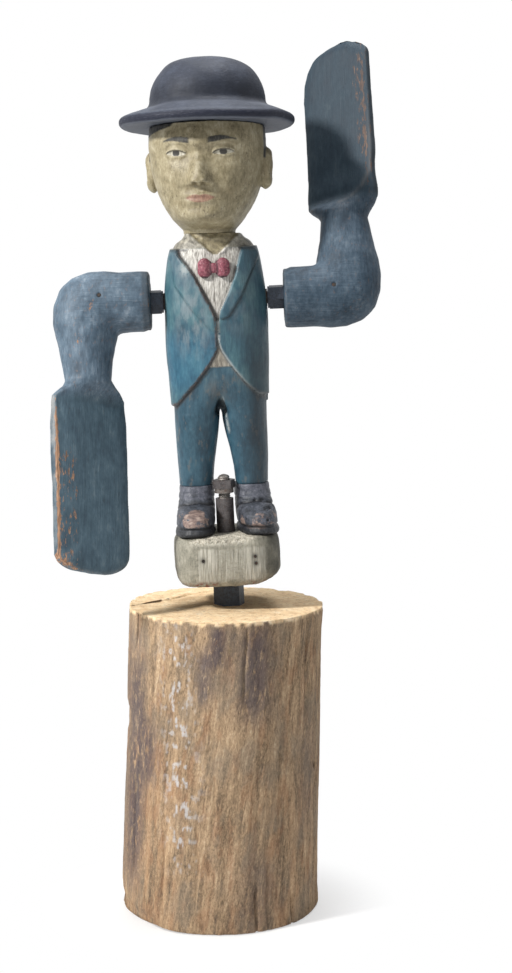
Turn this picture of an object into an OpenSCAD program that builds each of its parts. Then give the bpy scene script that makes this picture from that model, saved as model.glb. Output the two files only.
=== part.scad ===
// Carved wooden whirligig. A figure in a bowler hat and tailcoat turns on an iron rod in a log,
// and its two paddle arms spin on an axle through the shoulders.
// Millimetres, +Z up. The origin is the middle of the log's sawn foot and the figure faces -Y.

/* [Log] */
// Height of the log
log_h = 200; // [150:5:260]
// Width across the log at its top
log_top_d = 125; // [104:2:150]
// Width across the log at its foot
log_foot_d = 130; // [108:2:155]
// How far the top of the log stands to the right of its foot
log_drift = 4.5; // [0:0.5:8]
// How far the rod stands to the right of the middle of the log's top
rod_offset = 2.5; // [-6:0.5:6]
// Depth of the drying split below the top
split_depth = 26; // [15:1:60]
// Width of the drying split at the rim
split_w = 3.2; // [1.5:0.1:5]

/* [Pivot] */
// Lean of the rod and the whole figure to the left
lean = 2.5; // [0:0.5:4]
// Diameter of the rod
rod_d = 8; // [6:0.5:9]
// Length of rod driven into the log
rod_grip = 75; // [40:1:110]
// Length of rod above the retaining nut
rod_tip = 3.6; // [2:0.1:8]
// Width of the black collar across its corners
collar_across = 20; // [16:0.5:26]
// Height of the black collar
collar_h = 15.6; // [8:0.1:20]
// Diameter of the thrust washer
thrust_d = 24; // [18:0.5:28]
// Thickness of the thrust washer
thrust_t = 1.2; // [0.8:0.1:2.5]
// Outside diameter of the pivot sleeve
sleeve_d = 11.5; // [11:0.1:12.5]
// Height of the pivot sleeve above the block
sleeve_rise = 21.5; // [14:0.5:26]
// Height that the figure can lift before the retaining washer stops it
lift_play = 3.6; // [0.5:0.1:5]
// Diameter of the retaining washer
retaining_d = 12.4; // [11:0.1:13]
// Thickness of the retaining washer
retaining_t = 3; // [1:0.1:3.5]
// Width of the retaining nut across its corners
nut_across = 14.6; // [12:0.1:15]
// Height of the retaining nut
nut_h = 5.4; // [5:0.1:9]

/* [Block] */
// Width of the block under the shoes
block_w = 67.5; // [64:0.5:80]
// Depth of the block from front to back
block_depth = 66; // [64:1:80]
// Height of the block
block_h = 31.5; // [20:0.5:40]
// Turn of the block on the rod, its right side back
block_turn = 5; // [0:1:8]
// Diameter of the nails in the block
nail_d = 2; // [1.2:0.1:3]
// Length of the nails in the block
nail_l = 18; // [10:1:24]

/* [Shoes] */
// Length of each shoe
shoe_l = 55; // [50:1:58]
// Width of each shoe
shoe_w = 26; // [20:0.5:26.5]
// Height of each shoe to the trouser leg
shoe_h = 30; // [28:0.5:36]
// How far the soles stand out from under the middles of the legs
shoe_out = 2; // [1.7:0.1:3]
// How far the right shoe is turned out
toe_out = 8; // [0:1:10]
// Diameter of the foot screws
screw_d = 4.5; // [3:0.1:6]
// Length of the foot screws
screw_l = 90; // [75:1:100]

/* [Trousers and coat] */
// Width over both trouser legs at the ankles
ankle_w = 57; // [54:0.5:60]
// Gap between the trouser legs at the ankles
ankle_gap = 13; // [11:0.5:14]
// Depth of a trouser leg at the ankle, front to back
ankle_depth = 26; // [22:0.5:28]
// Height from the ankles to the crotch
leg_l = 48; // [44:1:60]
// Width over the coat at the hips
hip_w = 64; // [62:0.5:70]
// Width over the coat at the shoulder axle
chest_w = 65.4; // [62:0.2:72]
// Width over the coat at the shoulders
shoulder_w = 57; // [52:0.5:60]
// Depth of the chest, front to back
chest_depth = 50; // [44:0.5:56]
// Thickness of the coat over the trousers and the shirt
coat_t = 1.8; // [1.2:0.1:2.4]
// Height of the lapels over the coat
lapel_t = 0.9; // [0.5:0.1:1.5]
// Height above the crotch at which the coat is cut away in front
cutaway_h = 40.5; // [34:0.5:44]
// Height above the crotch of the bottom of the V neck
v_neck_h = 60; // [54:0.5:64]
// Half width of the V neck at the shoulders
v_neck_half = 18; // [14:0.5:20]
// Height above the crotch at which the coat ends at its sides
side_hem_h = 3.5; // [3:0.5:8]
// How far the tails hang below the hem at the sides
tail_drop = 16; // [8:0.5:22]
// Height of the shoulders above the crotch
shoulder_h = 107; // [102:0.5:114]
// Height of the collar above the shoulders
collar_rise = 5; // [4:0.5:10]
// How far the middle of the body stands behind the rod
body_back = 9.5; // [9:0.5:11]

/* [Bow tie] */
// Width of the bow tie
tie_w = 20.5; // [16:0.5:22]
// Height of the bow tie at its ends
tie_h = 12.6; // [9:0.5:14]
// Thickness of the bow tie
tie_t = 4.2; // [3:0.1:6]
// Distance of the bow tie below the shoulders
tie_drop = 15.5; // [13:0.5:18]

/* [Head] */
// Diameter of the neck in its socket
neck_d = 26; // [22:0.5:27]
// Depth of the neck in its socket
neck_seat = 9; // [6:0.5:14]
// Length of neck between the collar and the chin
neck_l = 3; // [2:0.5:8]
// Width of the head at the temples
head_w = 74.5; // [64:0.5:78]
// Depth of the head, front to back
head_depth = 76; // [66:0.5:80]
// Height of the head from the chin to the hat
head_h = 64.5; // [62:0.5:76]
// Backward tilt of the head and the hat
head_tilt = 5; // [0:0.5:8]
// Turn of the head to the left
head_turn = 8; // [0:0.5:12]
// Lean of the head to the right, against the lean of the body
head_roll = 0.5; // [0:0.5:4]
// How far the head stands to the left of the middle of the collar
head_shift = 1.8; // [0:0.1:2.5]
// Diameter of the dowel between the head and the hat
dowel_d = 10; // [6:0.5:14]
// Length of the dowel between the head and the hat
dowel_l = 26; // [16:1:36]

/* [Hat] */
// Diameter of the brim
brim_d = 112.5; // [100:0.5:114]
// Thickness of the brim at its edge
brim_t = 7.4; // [5:0.2:9]
// Height of the hat from its underside
hat_h = 44; // [38:1:54]
// Diameter of the crown where it meets the brim
crown_d = 77; // [70:1:86]

/* [Arms] */
// Height of the shoulder axle above the crotch
axle_h = 70.5; // [68:0.5:76]
// Diameter of the shoulder axle
axle_d = 8; // [6:0.5:9]
// Length of axle inside each arm
axle_grip = 44; // [36:1:52]
// Outside diameter of the tube in the shoulders
shoulder_tube_d = 11; // [10.6:0.2:13]
// Diameter of the washers beside the arms
arm_washer_d = 14; // [12:0.5:18]
// Thickness of the washers beside the arms
arm_washer_t = 1.2; // [0.8:0.1:2]
// Width of the black nuts beside the arms, across their corners
arm_nut_across = 16; // [13:0.5:20]
// Height of the black nut beside the left arm
left_nut_h = 6.6; // [5:0.1:10]
// Height of the black nut beside the right arm
right_nut_h = 8.8; // [5:0.1:10]
// Turn of the arms on the axle at rest, top away from the viewer
arm_rest = 22; // [0:1:30]
// Diameter of the round end of each arm
hub_d = 38; // [32:0.2:42]
// How far the axle is off the middle of the round end
hub_offset = 1.2; // [0:0.1:2]
// Reach of an arm from its inner end face to the outside of its elbow
elbow_reach = 62.6; // [54:0.1:70]
// Width of the forearm below the elbow
forearm_w = 35; // [32:0.5:38]
// Width of the wrist
wrist_w = 30; // [24:0.5:32]
// Distance of the wrist from the axle
wrist_r = 51; // [46:0.5:54]
// Distance of the paddle's shoulders from the axle
paddle_r = 66; // [63:0.5:76]
// Distance of the paddle's end from the axle
arm_r = 176; // [150:1:180]
// Width of the left paddle
left_paddle_w = 54; // [42:0.5:56]
// Width of the right paddle
right_paddle_w = 52; // [42:0.5:56]
// Thickness of the paddles
paddle_t = 10; // [6:0.2:12]
// Pitch of the paddles, outer edge towards the viewer
paddle_pitch = 34; // [20:1:45]
// Length over which the left paddle's end is rounded
left_end_l = 15; // [10:1:24]
// Length over which the right paddle's inner corner is rounded
right_end_l = 36; // [10:1:40]
// Diameter of the nails that pin the arms
arm_nail_d = 2.4; // [1.6:0.1:3]
// Distance of the arm nails from the inner end face
arm_nail_at = 32; // [20:1:34]

/* [Hidden] */
$fn = 48;

// Clearances
slide_gap = 0.075;
fit_gap = 0.1;
run_gap = 0.15;
cut = 1;

// Heights along the rod, above the top of the log
rod_x = log_drift + rod_offset;
collar_bed = collar_across / 2 * sin(lean) + 0.2;
collar_v = -collar_bed;
thrust_v = collar_v + collar_h;
block_v = thrust_v + thrust_t + run_gap;
shoe_v = block_v + block_h;
ankle_v = shoe_v + shoe_h;
retaining_v = shoe_v + sleeve_rise + lift_play;
nut_v = retaining_v + retaining_t;
rod_top_v = nut_v + nut_h + rod_tip;

// Heights in the body, above the ankles
hem_v = leg_l + side_hem_h;
tail_v = hem_v - tail_drop;
cutaway_v = leg_l + cutaway_h;
v_neck_v = leg_l + v_neck_h;
axle_v = leg_l + axle_h;
shoulder_v = leg_l + shoulder_h;
collar_top_v = shoulder_v + collar_rise;
tie_v = shoulder_v - tie_drop;

// Places along the shoulder axle, out from the middle
chest_half = chest_w / 2;
tube_end = chest_half + 0.4;
arm_washer_u = tube_end + 2 * run_gap;
arm_nut_u = arm_washer_u + arm_washer_t;
hub_r = hub_d / 2;

// How far out an arm's inner end face and the outside of its elbow are, on the left or the right side
function nut_h_at(side) = side < 0 ? left_nut_h : right_nut_h;
function hub_u(side) = arm_nut_u + nut_h_at(side);
function elbow_u(side) = hub_u(side) + elbow_reach;

// Feet
leg_u = (ankle_w + ankle_gap) / 4;
screw_v = block_v + 1;

// The neck stands in its socket at this height above the ankles
neck_v = collar_top_v;
brim_r = brim_d / 2;
crown_r = crown_d / 2;

// Helpers

// Index of the stretch of a list of [place, value] pairs in which a place lies
function stretch(list, x) = max([0, for (k = [0 : len(list) - 2]) if (x >= list[k][0]) k]);

// Slope of a list of [place, value] pairs at one of its pairs
function slope(list, k) =
  let (a = max(k - 1, 0), b = min(k + 1, len(list) - 1))
  (list[b][1] - list[a][1]) / (list[b][0] - list[a][0]);

// Smooth curve through a list of [place, value] pairs
function curve(list, x) =
  let (
    k = stretch(list, x),
    h = list[k + 1][0] - list[k][0],
    s = max(0, min(1, (x - list[k][0]) / h)),
    a = list[k][1],
    b = list[k + 1][1],
    ma = slope(list, k) * h,
    mb = slope(list, k + 1) * h
  )
  a * (2 * s * s * s - 3 * s * s + 1) + ma * (s * s * s - 2 * s * s + s)
    + b * (3 * s * s - 2 * s * s * s) + mb * (s * s * s - s * s);

function mix(a, b, t) = a + (b - a) * t;
function ease(t) = let (s = max(0, min(1, t))) s * s * (3 - 2 * s);
function bell(x, width) = exp(-x * x / (2 * width * width));
function power(x, n) = sign(x) * pow(abs(x), n);

// Solid through a list of rings, each with as many points, wound to the left about the way they run
module loft(rings) {
  n = len(rings[0]);
  last = len(rings) - 1;
  points = [for (ring = rings) each ring];
  sides = [
    for (j = [0 : last - 1], i = [0 : n - 1])
      let (
        a = j * n + i,
        b = j * n + (i + 1) % n,
        c = b + n,
        d = a + n
      )
      each [[a, d, c], [a, c, b]]
  ];
  start = [for (i = [0 : n - 1]) i];
  end = [for (i = [0 : n - 1]) last * n + n - 1 - i];
  polyhedron(points, concat([start], sides, [end]), convexity = 6);
}

// The frame of the leaning rod, with its foot on the log
module on_rod() {
  translate([rod_x, 0, log_h])
    rotate([0, -lean, 0])
      children();
}

// The frame of the body, from its middle at the ankles
module in_body() {
  on_rod()
    translate([0, body_back, ankle_v])
      children();
}

// The frame of the head, from the middle of the neck at the collar
module in_head() {
  in_body()
    translate([-head_shift, 0, neck_v])
      rotate([-head_tilt, head_roll, -head_turn])
        children();
}

// The frame of the shoulder axle, turned as the arms rest
module on_axle() {
  in_body()
    translate([0, 0, axle_v])
      rotate([-arm_rest, 0, 0])
        children();
}

module along_x(from, length, d, sides = $fn) {
  translate([from, 0, 0])
    rotate([0, 90, 0])
      cylinder(h = length, d = d, $fn = sides);
}

// Fixed parts

// Where the drying split starts behind the rod, and the way it runs to the rim at the left
split_from = [rod_x - 21, 42];
split_angle = 229;

// Outline of the log, lobed as a trunk is, at a height from 0 at the foot to 1 at the top
function log_ring(t) =
  let (r = mix(log_foot_d, log_top_d, t) / 2)
  [
    for (i = [0 : 43])
      let (
        a = i * 360 / 44,
        lobes = 0.008 * sin(3 * a + 40) + 0.006 * sin(5 * a + 100 * t) + 0.004 * sin(9 * a + 70 + 60 * t),
        hollow = 0.035 * bell(a - 186, 7) * bell(t - 0.58, 0.07)
      )
      [
        log_drift * t + r * (1 + lobes - hollow) * cos(a),
        r * (1 + lobes - hollow) * sin(a),
        mix(-cut, log_h + cut, t)
      ]
  ];

module log_stand() {
  room = 2 * log_foot_d;
  color("#9a7b58")
    difference() {
      loft([for (k = [0 : 10]) log_ring(k / 10)]);
      // The two saw cuts
      translate([-room / 2, -room / 2, -2 * cut])
        cube([room, room, 2 * cut]);
      translate([-room / 2, -room / 2, log_h])
        cube([room, room, 2 * cut]);
      // Drying split from the left rim, past the rod towards the back
      translate([split_from[0], split_from[1], log_h - split_depth])
        rotate([0, 0, split_angle])
          linear_extrude(split_depth + cut)
            polygon([
              [0, 0.1], [log_top_d / 2, split_w / 2], [log_foot_d, split_w],
              [log_foot_d, -split_w], [log_top_d / 2, -split_w / 2], [0, -0.1]
            ]);
      // Drilling for the rod, with the bed that the collar stands in
      on_rod() {
        translate([0, 0, -rod_grip - fit_gap])
          cylinder(h = rod_grip + 2 * cut, d = rod_d + 2 * fit_gap);
        translate([0, 0, collar_v])
          cylinder(h = collar_bed + cut, d = collar_across + 4 * fit_gap);
      }
    }
}

module pivot_rod() {
  color("#4a4744")
    on_rod() {
      translate([0, 0, -rod_grip])
        cylinder(h = rod_grip + rod_top_v - rod_tip / 2, d = rod_d);
      // Domed end
      translate([0, 0, rod_top_v - rod_tip / 2])
        intersection() {
          cylinder(h = rod_tip / 2, d = rod_d);
          translate([0, 0, rod_tip / 2 - rod_d])
            sphere(r = rod_d);
        }
    }
}

module hex_ring(across, h, bore) {
  difference() {
    cylinder(h = h, d = across, $fn = 6);
    translate([0, 0, -cut])
      cylinder(h = h + 2 * cut, d = bore);
  }
}

module plain_ring(d, h, bore) {
  difference() {
    cylinder(h = h, d = d);
    translate([0, 0, -cut])
      cylinder(h = h + 2 * cut, d = bore);
  }
}

module rod_collar() {
  color("#1f2124")
    on_rod()
      translate([0, 0, collar_v])
        rotate([0, 0, 12])
          hex_ring(collar_across, collar_h, rod_d + 2 * fit_gap);
}

module thrust_washer() {
  color("#2c2d2f")
    on_rod()
      translate([0, 0, thrust_v])
        plain_ring(thrust_d, thrust_t, rod_d + 2 * fit_gap);
}

module retaining_washer() {
  color("#55504c")
    on_rod()
      translate([0, 0, retaining_v])
        plain_ring(retaining_d, retaining_t, rod_d + 2 * fit_gap);
}

module retaining_nut() {
  color("#5c5650")
    on_rod()
      translate([0, 0, nut_v])
        rotate([0, 0, 8])
          hex_ring(nut_across, nut_h, rod_d + 2 * fit_gap);
}

// Block and shoes

// Ring of a hewn block or shoe: a rounded rectangle between front and back
function slab_ring(u, half_w, front, back, v, n, count) = [
  for (i = [0 : count - 1])
    let (a = i * 360 / count)
    [
      u + half_w * power(cos(a), 2 / n),
      mix(front, back, 0.5 + 0.5 * power(sin(a), 2 / n)),
      v
    ]
];

// The middle of the block, behind the rod
block_back = 1.5;

// How much the block draws in at a height from 0 to 1: worn at both edges
function block_draw(t) = curve([[0, 3.4], [0.1, 1.2], [0.3, 0.2], [0.6, 0], [0.85, 0.5], [1, 2.2]], t);

module base_block() {
  color("#9a9a84")
    on_rod()
      difference() {
        rotate([0, 0, block_turn])
          loft([
            for (t = [0, 0.04, 0.1, 0.3, 0.6, 0.85, 0.95, 1])
              slab_ring(
                0,
                block_w / 2 - block_draw(t),
                block_back - block_depth / 2 + block_draw(t),
                block_back + block_depth / 2 - block_draw(t),
                block_v + t * block_h, 3.8, 40
              )
          ]);
        translate([0, 0, block_v - cut])
          cylinder(h = block_h + 2 * cut, d = sleeve_d + 2 * fit_gap);
        place_nails()
          cylinder(h = nail_l + cut, d = nail_d + 2 * fit_gap);
        place_screws()
          screw_room();
      }
}

module pivot_sleeve() {
  color("#3d3f42")
    on_rod()
      translate([0, 0, block_v])
        plain_ring(sleeve_d, block_h + sleeve_rise, rod_d + 2 * slide_gap);
}

// The nails enter the front of the block: one at the left, a pair at the right
nail_heads = [[-17.5, 0.56], [15.5, 0.6], [15.8, 0.46]];

module place_nails() {
  front = block_back - block_depth / 2;
  for (p = nail_heads)
    rotate([0, 0, block_turn])
      translate([p[0], front + 0.8, block_v + p[1] * block_h])
        rotate([-90, 0, 0])
          children();
}

module block_nails() {
  color("#2a2522")
    on_rod()
      place_nails()
        cylinder(h = nail_l, d = nail_d);
}

// Front and back of a shoe and its half width, by the height from the sole to the ankle
function shoe_front(t) = curve([
  [0, -0.63], [0.06, -0.66], [0.14, -0.64], [0.26, -0.655], [0.4, -0.63], [0.52, -0.53],
  [0.66, -0.38], [0.8, -0.28], [1, -0.245]
], t) * shoe_l;
function shoe_back(t) = curve([
  [0, 0.31], [0.06, 0.325], [0.14, 0.305], [0.4, 0.3], [0.7, 0.275], [1, 0.245]
], t) * shoe_l;
function shoe_half(t) = curve([
  [0, 0.49], [0.06, 0.5], [0.14, 0.475], [0.4, 0.475], [0.66, 0.445], [1, 0.43]
], t) * shoe_w;

// A shoe on the left or the right side stands upright over its ankle and spreads outwards to its sole
module shoe_solid(side) {
  loft([
    for (t = [0, 0.06, 0.11, 0.15, 0.26, 0.4, 0.48, 0.56, 0.66, 0.8, 0.92, 1])
      slab_ring(side * shoe_out * (1 - t), shoe_half(t), shoe_front(t), shoe_back(t),
        shoe_v + t * shoe_h, 2.5, 26)
  ]);
}

// The ankle, about which a shoe is placed, on the left or the right side
module at_ankle(side) {
  translate([side * leg_u, body_back, 0])
    rotate([0, 0, side > 0 ? toe_out : 0])
      children();
}

module shoe(side) {
  on_rod()
    difference() {
      at_ankle(side)
        shoe_solid(side);
      place_screws()
        screw_room();
    }
}

module left_shoe() {
  color("#4b4a50")
    shoe(-1);
}

module right_shoe() {
  color("#4b4a50")
    shoe(1);
}

// One screw up through the block and the shoe into the leg, on each side
module place_screws() {
  for (side = [-1, 1])
    translate([side * leg_u, body_back, screw_v])
      children();
}

module screw_solid(gap) {
  sink_h = screw_d / 2;
  cylinder(h = sink_h, d1 = 2 * screw_d + 2 * gap, d2 = screw_d + 2 * gap);
  cylinder(h = screw_l + gap, d = screw_d + 2 * gap);
}

module screw_room() {
  screw_solid(fit_gap);
  translate([0, 0, -screw_d])
    cylinder(h = screw_d, d = 2 * screw_d + 2 * fit_gap);
}

module foot_screws() {
  color("#57504a")
    on_rod()
      place_screws()
        screw_solid(0);
}

// Trousers, shirt and coat

// Half width and half depth of the trousers and the shirt at a height above the ankles
function body_half(v) = curve([
  [0, ankle_w / 2],
  [leg_l * 0.5, mix(ankle_w, hip_w, 0.2) / 2],
  [leg_l, hip_w / 2 - coat_t - 0.8],
  [leg_l + cutaway_h, chest_half - coat_t],
  [axle_v, chest_half - coat_t - 0.1],
  [mix(axle_v, shoulder_v, 0.6), mix(chest_half, shoulder_w / 2, 0.6) - coat_t],
  [shoulder_v - 4, shoulder_w / 2 - coat_t - 0.6],
  [shoulder_v, shoulder_w / 2 - coat_t - 3],
  [mix(shoulder_v, collar_top_v, 0.5), neck_d / 2 + 7],
  [collar_top_v, neck_d / 2 + 5]
], v);
function body_deep(v) = curve([
  [0, ankle_depth / 2],
  [leg_l * 0.5, mix(ankle_depth, chest_depth, 0.12) / 2],
  [leg_l, mix(ankle_depth, chest_depth, 0.4) / 2],
  [leg_l + cutaway_h, mix(ankle_depth, chest_depth, 0.9) / 2 - coat_t],
  [v_neck_v, chest_depth / 2 - coat_t],
  [axle_v, chest_depth * 0.49 - coat_t],
  [mix(axle_v, shoulder_v, 0.6), chest_depth * 0.44 - coat_t],
  [shoulder_v - 4, chest_depth * 0.4 - coat_t],
  [shoulder_v, chest_depth * 0.37 - coat_t],
  [mix(shoulder_v, collar_top_v, 0.5), neck_d / 2 + 4.4],
  [collar_top_v, neck_d / 2 + 2.8]
], v);

// How far the body has parted into two legs, from 0 at the seat to 1 below
function parted(v) = 1 - ease((v - leg_l * 0.86) / (leg_l * 0.5));

// Half the gap between the legs
function leg_gap(v) = mix(ankle_gap / 2, 0.8, ease(v / leg_l));

// Height of a leg's round side over its middle line, at a distance out from the body's middle
function leg_round(u, v) =
  let (
    half = body_half(v),
    middle = (half + leg_gap(v)) / 2,
    reach = (half - leg_gap(v)) / 2,
    x = min(1, abs(abs(u) - middle) / reach)
  )
  max(0.14, pow(1 - pow(x, 2.3), 1 / 2.3));

// Ring of the body at a height, grown outwards by a thickness, and parted into legs from 0 to 1
function body_ring(v, grow, legs) =
  let (half = body_half(v) + grow, deep = body_deep(v) + grow)
  [
    for (i = [0 : 43])
      let (
        a = i * 360 / 44,
        u = half * power(cos(a), 0.85),
        whole = power(sin(a), 0.85),
        leg = sign(sin(a)) * leg_round(u, v)
      )
      [u, deep * mix(whole, leg, abs(whole) < 0.05 ? 0 : legs), v]
  ];

body_steps = concat([-cut], [for (k = [0.5 : 1 : 9.5]) k / 9.5 * leg_l * 1.1]);
torso_steps = [for (k = [1 : 12]) mix(leg_l * 1.1, shoulder_v - 4, k / 12)];
collar_steps = [shoulder_v - 1.5, shoulder_v, mix(shoulder_v, collar_top_v, 0.3),
  mix(shoulder_v, collar_top_v, 0.6), collar_top_v];
coat_steps = concat(
  [tail_v, mix(tail_v, hem_v, 0.5), hem_v + 3],
  [for (k = [1 : 9]) mix(hem_v + 3, shoulder_v - 4, k / 9)],
  [shoulder_v - 1.5, shoulder_v, mix(shoulder_v, collar_top_v, 0.3), mix(shoulder_v, collar_top_v, 0.62)]
);
lapel_steps = concat(
  [for (k = [0 : 6]) mix(v_neck_v - 8, shoulder_v - 4, k / 6)],
  [shoulder_v - 1.5, shoulder_v]
);

// Half the gap in which the two fronts of the coat meet
fronts_gap = 0.6;

// Half width of the coat's front opening at a height above the ankles
function opening(v) = max(fronts_gap, curve([
  [hem_v - 0.5, hip_w / 2 + 6],
  [hem_v + 1.5, hip_w / 2 - 4],
  [mix(hem_v, cutaway_v, 0.3), hip_w * 0.29],
  [mix(hem_v, cutaway_v, 0.66), hip_w * 0.125],
  [cutaway_v, fronts_gap],
  [v_neck_v, fronts_gap],
  [mix(v_neck_v, shoulder_v, 0.27), v_neck_half * 0.36],
  [mix(v_neck_v, shoulder_v, 0.58), v_neck_half * 0.72],
  [mix(v_neck_v, shoulder_v, 0.85), v_neck_half],
  [collar_top_v + cut, v_neck_half * 1.05]
], v));

// Half width over the lapels at a height above the ankles
function lapel_edge(v) = curve([
  [v_neck_v - 8, 2 * fronts_gap],
  [v_neck_v + 2, 7.5],
  [mix(v_neck_v, shoulder_v, 0.4), v_neck_half * 1.02],
  [mix(v_neck_v, shoulder_v, 0.75), v_neck_half * 1.5],
  [shoulder_v + cut, v_neck_half * 1.75]
], v);

// Prism along Y between two heights, as wide on both sides as a function of the height gives
module front_prism(halves, depth) {
  rotate([90, 0, 0])
    linear_extrude(depth)
      polygon(concat(
        [for (p = halves) [p[1], p[0]]],
        [for (k = [len(halves) - 1 : -1 : 0]) [-halves[k][1], halves[k][0]]]
      ));
}

opening_steps = concat(
  [hem_v - 0.5, hem_v + 0.5, hem_v + 1.5],
  [for (k = [1 : 8]) mix(hem_v + 1.5, cutaway_v, k / 8)],
  [for (k = [0 : 9]) mix(v_neck_v, collar_top_v + cut, k / 9)]
);

// How far behind the middle of the body the tails start
tail_back = 4;

// Half width over the tails where they leave the hem and at their ends
tail_root = 0.42 * hip_w;
tail_end = 0.27 * hip_w;

module coat_opening() {
  // The cut away front and the V neck
  front_prism([for (v = opening_steps) [v, opening(v)]], chest_depth);
  // Below the hem only the tails hang
  translate([-hip_w, -chest_depth, tail_v - cut])
    cube([2 * hip_w, chest_depth + tail_back, hem_v - 0.4 - tail_v + cut]);
  // The tails narrow towards their ends
  for (side = [0, 1])
    mirror([side, 0, 0])
      translate([0, chest_depth, 0])
        rotate([90, 0, 0])
          linear_extrude(2 * chest_depth)
            polygon([
              [tail_root, hem_v - 0.4], [hip_w, hem_v - 0.4], [hip_w, tail_v - cut], [tail_end, tail_v - cut]
            ]);
}

module leg_gap_prism() {
  translate([0, ankle_depth, 0])
    front_prism(
      concat(
        [for (k = [0 : 7]) let (v = mix(-2 * cut, leg_l * 0.94, k / 7)) [v, leg_gap(max(0, v))]],
        [[leg_l * 0.98, 0.5], [leg_l, 0.15]]
      ),
      2 * ankle_depth
    );
}

module coat_and_legs() {
  color("#2f5f7d")
    difference() {
      in_body()
        difference() {
          union() {
            loft([for (v = concat(body_steps, torso_steps, collar_steps)) body_ring(v, 0, parted(v))]);
            difference() {
              loft([for (v = coat_steps) body_ring(v, coat_t, 0)]);
              coat_opening();
            }
            intersection() {
              loft([for (v = lapel_steps) body_ring(v, coat_t + lapel_t, 0)]);
              difference() {
                front_prism([for (v = lapel_steps) [v, lapel_edge(v)]], chest_depth);
                front_prism([for (v = concat(lapel_steps, [shoulder_v + cut])) [v, opening(v)]], chest_depth);
              }
            }
          }
          // The gap between the legs, which goes on as the vent of the tails
          leg_gap_prism();
          // The legs are sawn flat at the ankles
          translate([-ankle_w, -ankle_depth, -3 * cut])
            cube([2 * ankle_w, 2 * ankle_depth, 3 * cut]);
        }
      // Socket for the neck, and the top of the collar cut to the tilt of the head
      in_head() {
        translate([0, 0, -neck_seat - fit_gap])
          cylinder(h = neck_seat + 2 * collar_rise, d = neck_d + 2 * fit_gap);
        translate([0, 0, -fit_gap])
          cylinder(h = 2 * collar_rise, d = head_w);
      }
      // Bore for the tube through the shoulders
      in_body()
        translate([0, 0, axle_v])
          along_x(-chest_w, 2 * chest_w, shoulder_tube_d + 2 * fit_gap);
      on_rod()
        place_screws()
          screw_solid(fit_gap);
    }
}

module shoulder_tube() {
  color("#3a3733")
    in_body()
      translate([0, 0, axle_v])
        difference() {
          along_x(-tube_end, 2 * tube_end, shoulder_tube_d);
          along_x(-tube_end - cut, 2 * tube_end + 2 * cut, axle_d + 2 * slide_gap);
        }
}

// Ring of the bow tie across its width: narrow at the knot and tall at both ends
function tie_ring(t) =
  let (
    out = abs(t),
    tall = [[0, 0.5], [0.12, 0.48], [0.22, 0.62], [0.4, 0.95], [0.6, 1], [0.85, 0.86], [1, 0.5]],
    thick = [[0, 0.9], [0.12, 0.8], [0.22, 0.66], [0.55, 1], [0.85, 0.84], [1, 0.5]],
    half_h = tie_h / 2 * curve(tall, out),
    half_t = tie_t / 2 * curve(thick, out)
  )
  [
    for (i = [0 : 15])
      let (a = -i * 360 / 16)
      [t * tie_w / 2, -half_t + half_t * power(cos(a), 0.8), half_h * power(sin(a), 0.8)]
  ];

module bow_tie() {
  front = body_deep(tie_v) + run_gap;
  color("#8e3b4b")
    in_body()
      translate([0, -front, tie_v])
        loft([for (k = [-7 : 7]) tie_ring(k / 7)]);
}

// Head: the plain proportions of a drawing manual, with the eyes half way up the head

skull_h = head_h / 0.72;
eye_h = skull_h * 0.5;
brow_h = skull_h * 0.56;
nose_h = skull_h * 0.29;
mouth_h = skull_h * 0.19;
eye_u = head_w * 0.2;

// Half width of the head, its front and its back, by the height above the chin
function head_half(h) = head_w / 2 * curve([
  [-neck_l, 0.42], [0, 0.46], [0.08 * skull_h, 0.63], [0.2 * skull_h, 0.8], [0.34 * skull_h, 0.92],
  [0.5 * skull_h, 0.99], [0.62 * skull_h, 1], [head_h, 0.985]
], h);
function head_front(h) = head_depth / 2 * curve([
  [-neck_l, 0.4], [-1, 0.44], [0.03 * skull_h, 0.8], [0.1 * skull_h, 0.92], [0.2 * skull_h, 0.93],
  [0.34 * skull_h, 0.94], [0.5 * skull_h, 0.95], [0.6 * skull_h, 0.99], [head_h, 0.94]
], h);
function head_rear(h) = head_depth / 2 * curve([
  [-neck_l, 0.42], [0, 0.44], [0.12 * skull_h, 0.5], [0.25 * skull_h, 0.72], [0.45 * skull_h, 0.97],
  [0.6 * skull_h, 1], [head_h, 0.95]
], h);

// Carved relief of the face: how far the surface stands out at a place across and a height
function face(u, h) =
  let (
    down = (brow_h - h) / (brow_h - nose_h),
    tip = ease(down * 1.1) * (1 - ease((nose_h - h) / 2.4)),
    nose = 8 * tip * bell(u, mix(2.6, 4.4, ease(down))) * (h < brow_h ? 1 : 0)
      + 2.2 * bell(abs(u) - 4.6, 1.8) * bell(h - nose_h - 1.5, 2),
    brow = 1.3 * bell(h - brow_h, 2.6) * bell(u, 16),
    sockets = -2.4 * bell(abs(u) - eye_u * 0.9, 5.6) * bell(h - eye_h - 0.5, 4),
    eyes = 1.9 * bell(abs(u) - eye_u, 3.8) * bell(h - eye_h, 2.3),
    lips = 1.5 * bell(u, 6.6) * (bell(h - mouth_h - 1.7, 1.3) + bell(h - mouth_h + 2, 1.5))
      - 0.6 * bell(u, 9) * bell(h - mouth_h, 0.8),
    dip = -0.9 * bell(u, 8) * bell(h - mouth_h + 6, 2),
    chin = 1.7 * bell(u, 8) * bell(h - skull_h * 0.06, 4),
    cheeks = 0.9 * bell(abs(u) - head_w * 0.27, 6) * bell(h - nose_h - 4, 7)
  )
  nose + brow + sockets + eyes + lips + dip + chin + cheeks;

face_angles = concat([for (k = [0 : 12]) 4.5 * k], [62, 71, 81, 92, 106, 122, 140, 160, 180]);
head_angles = concat(
  [for (k = [0 : len(face_angles) - 1]) face_angles[k]],
  [for (k = [len(face_angles) - 2 : -1 : 1]) -face_angles[k]]
);

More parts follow.
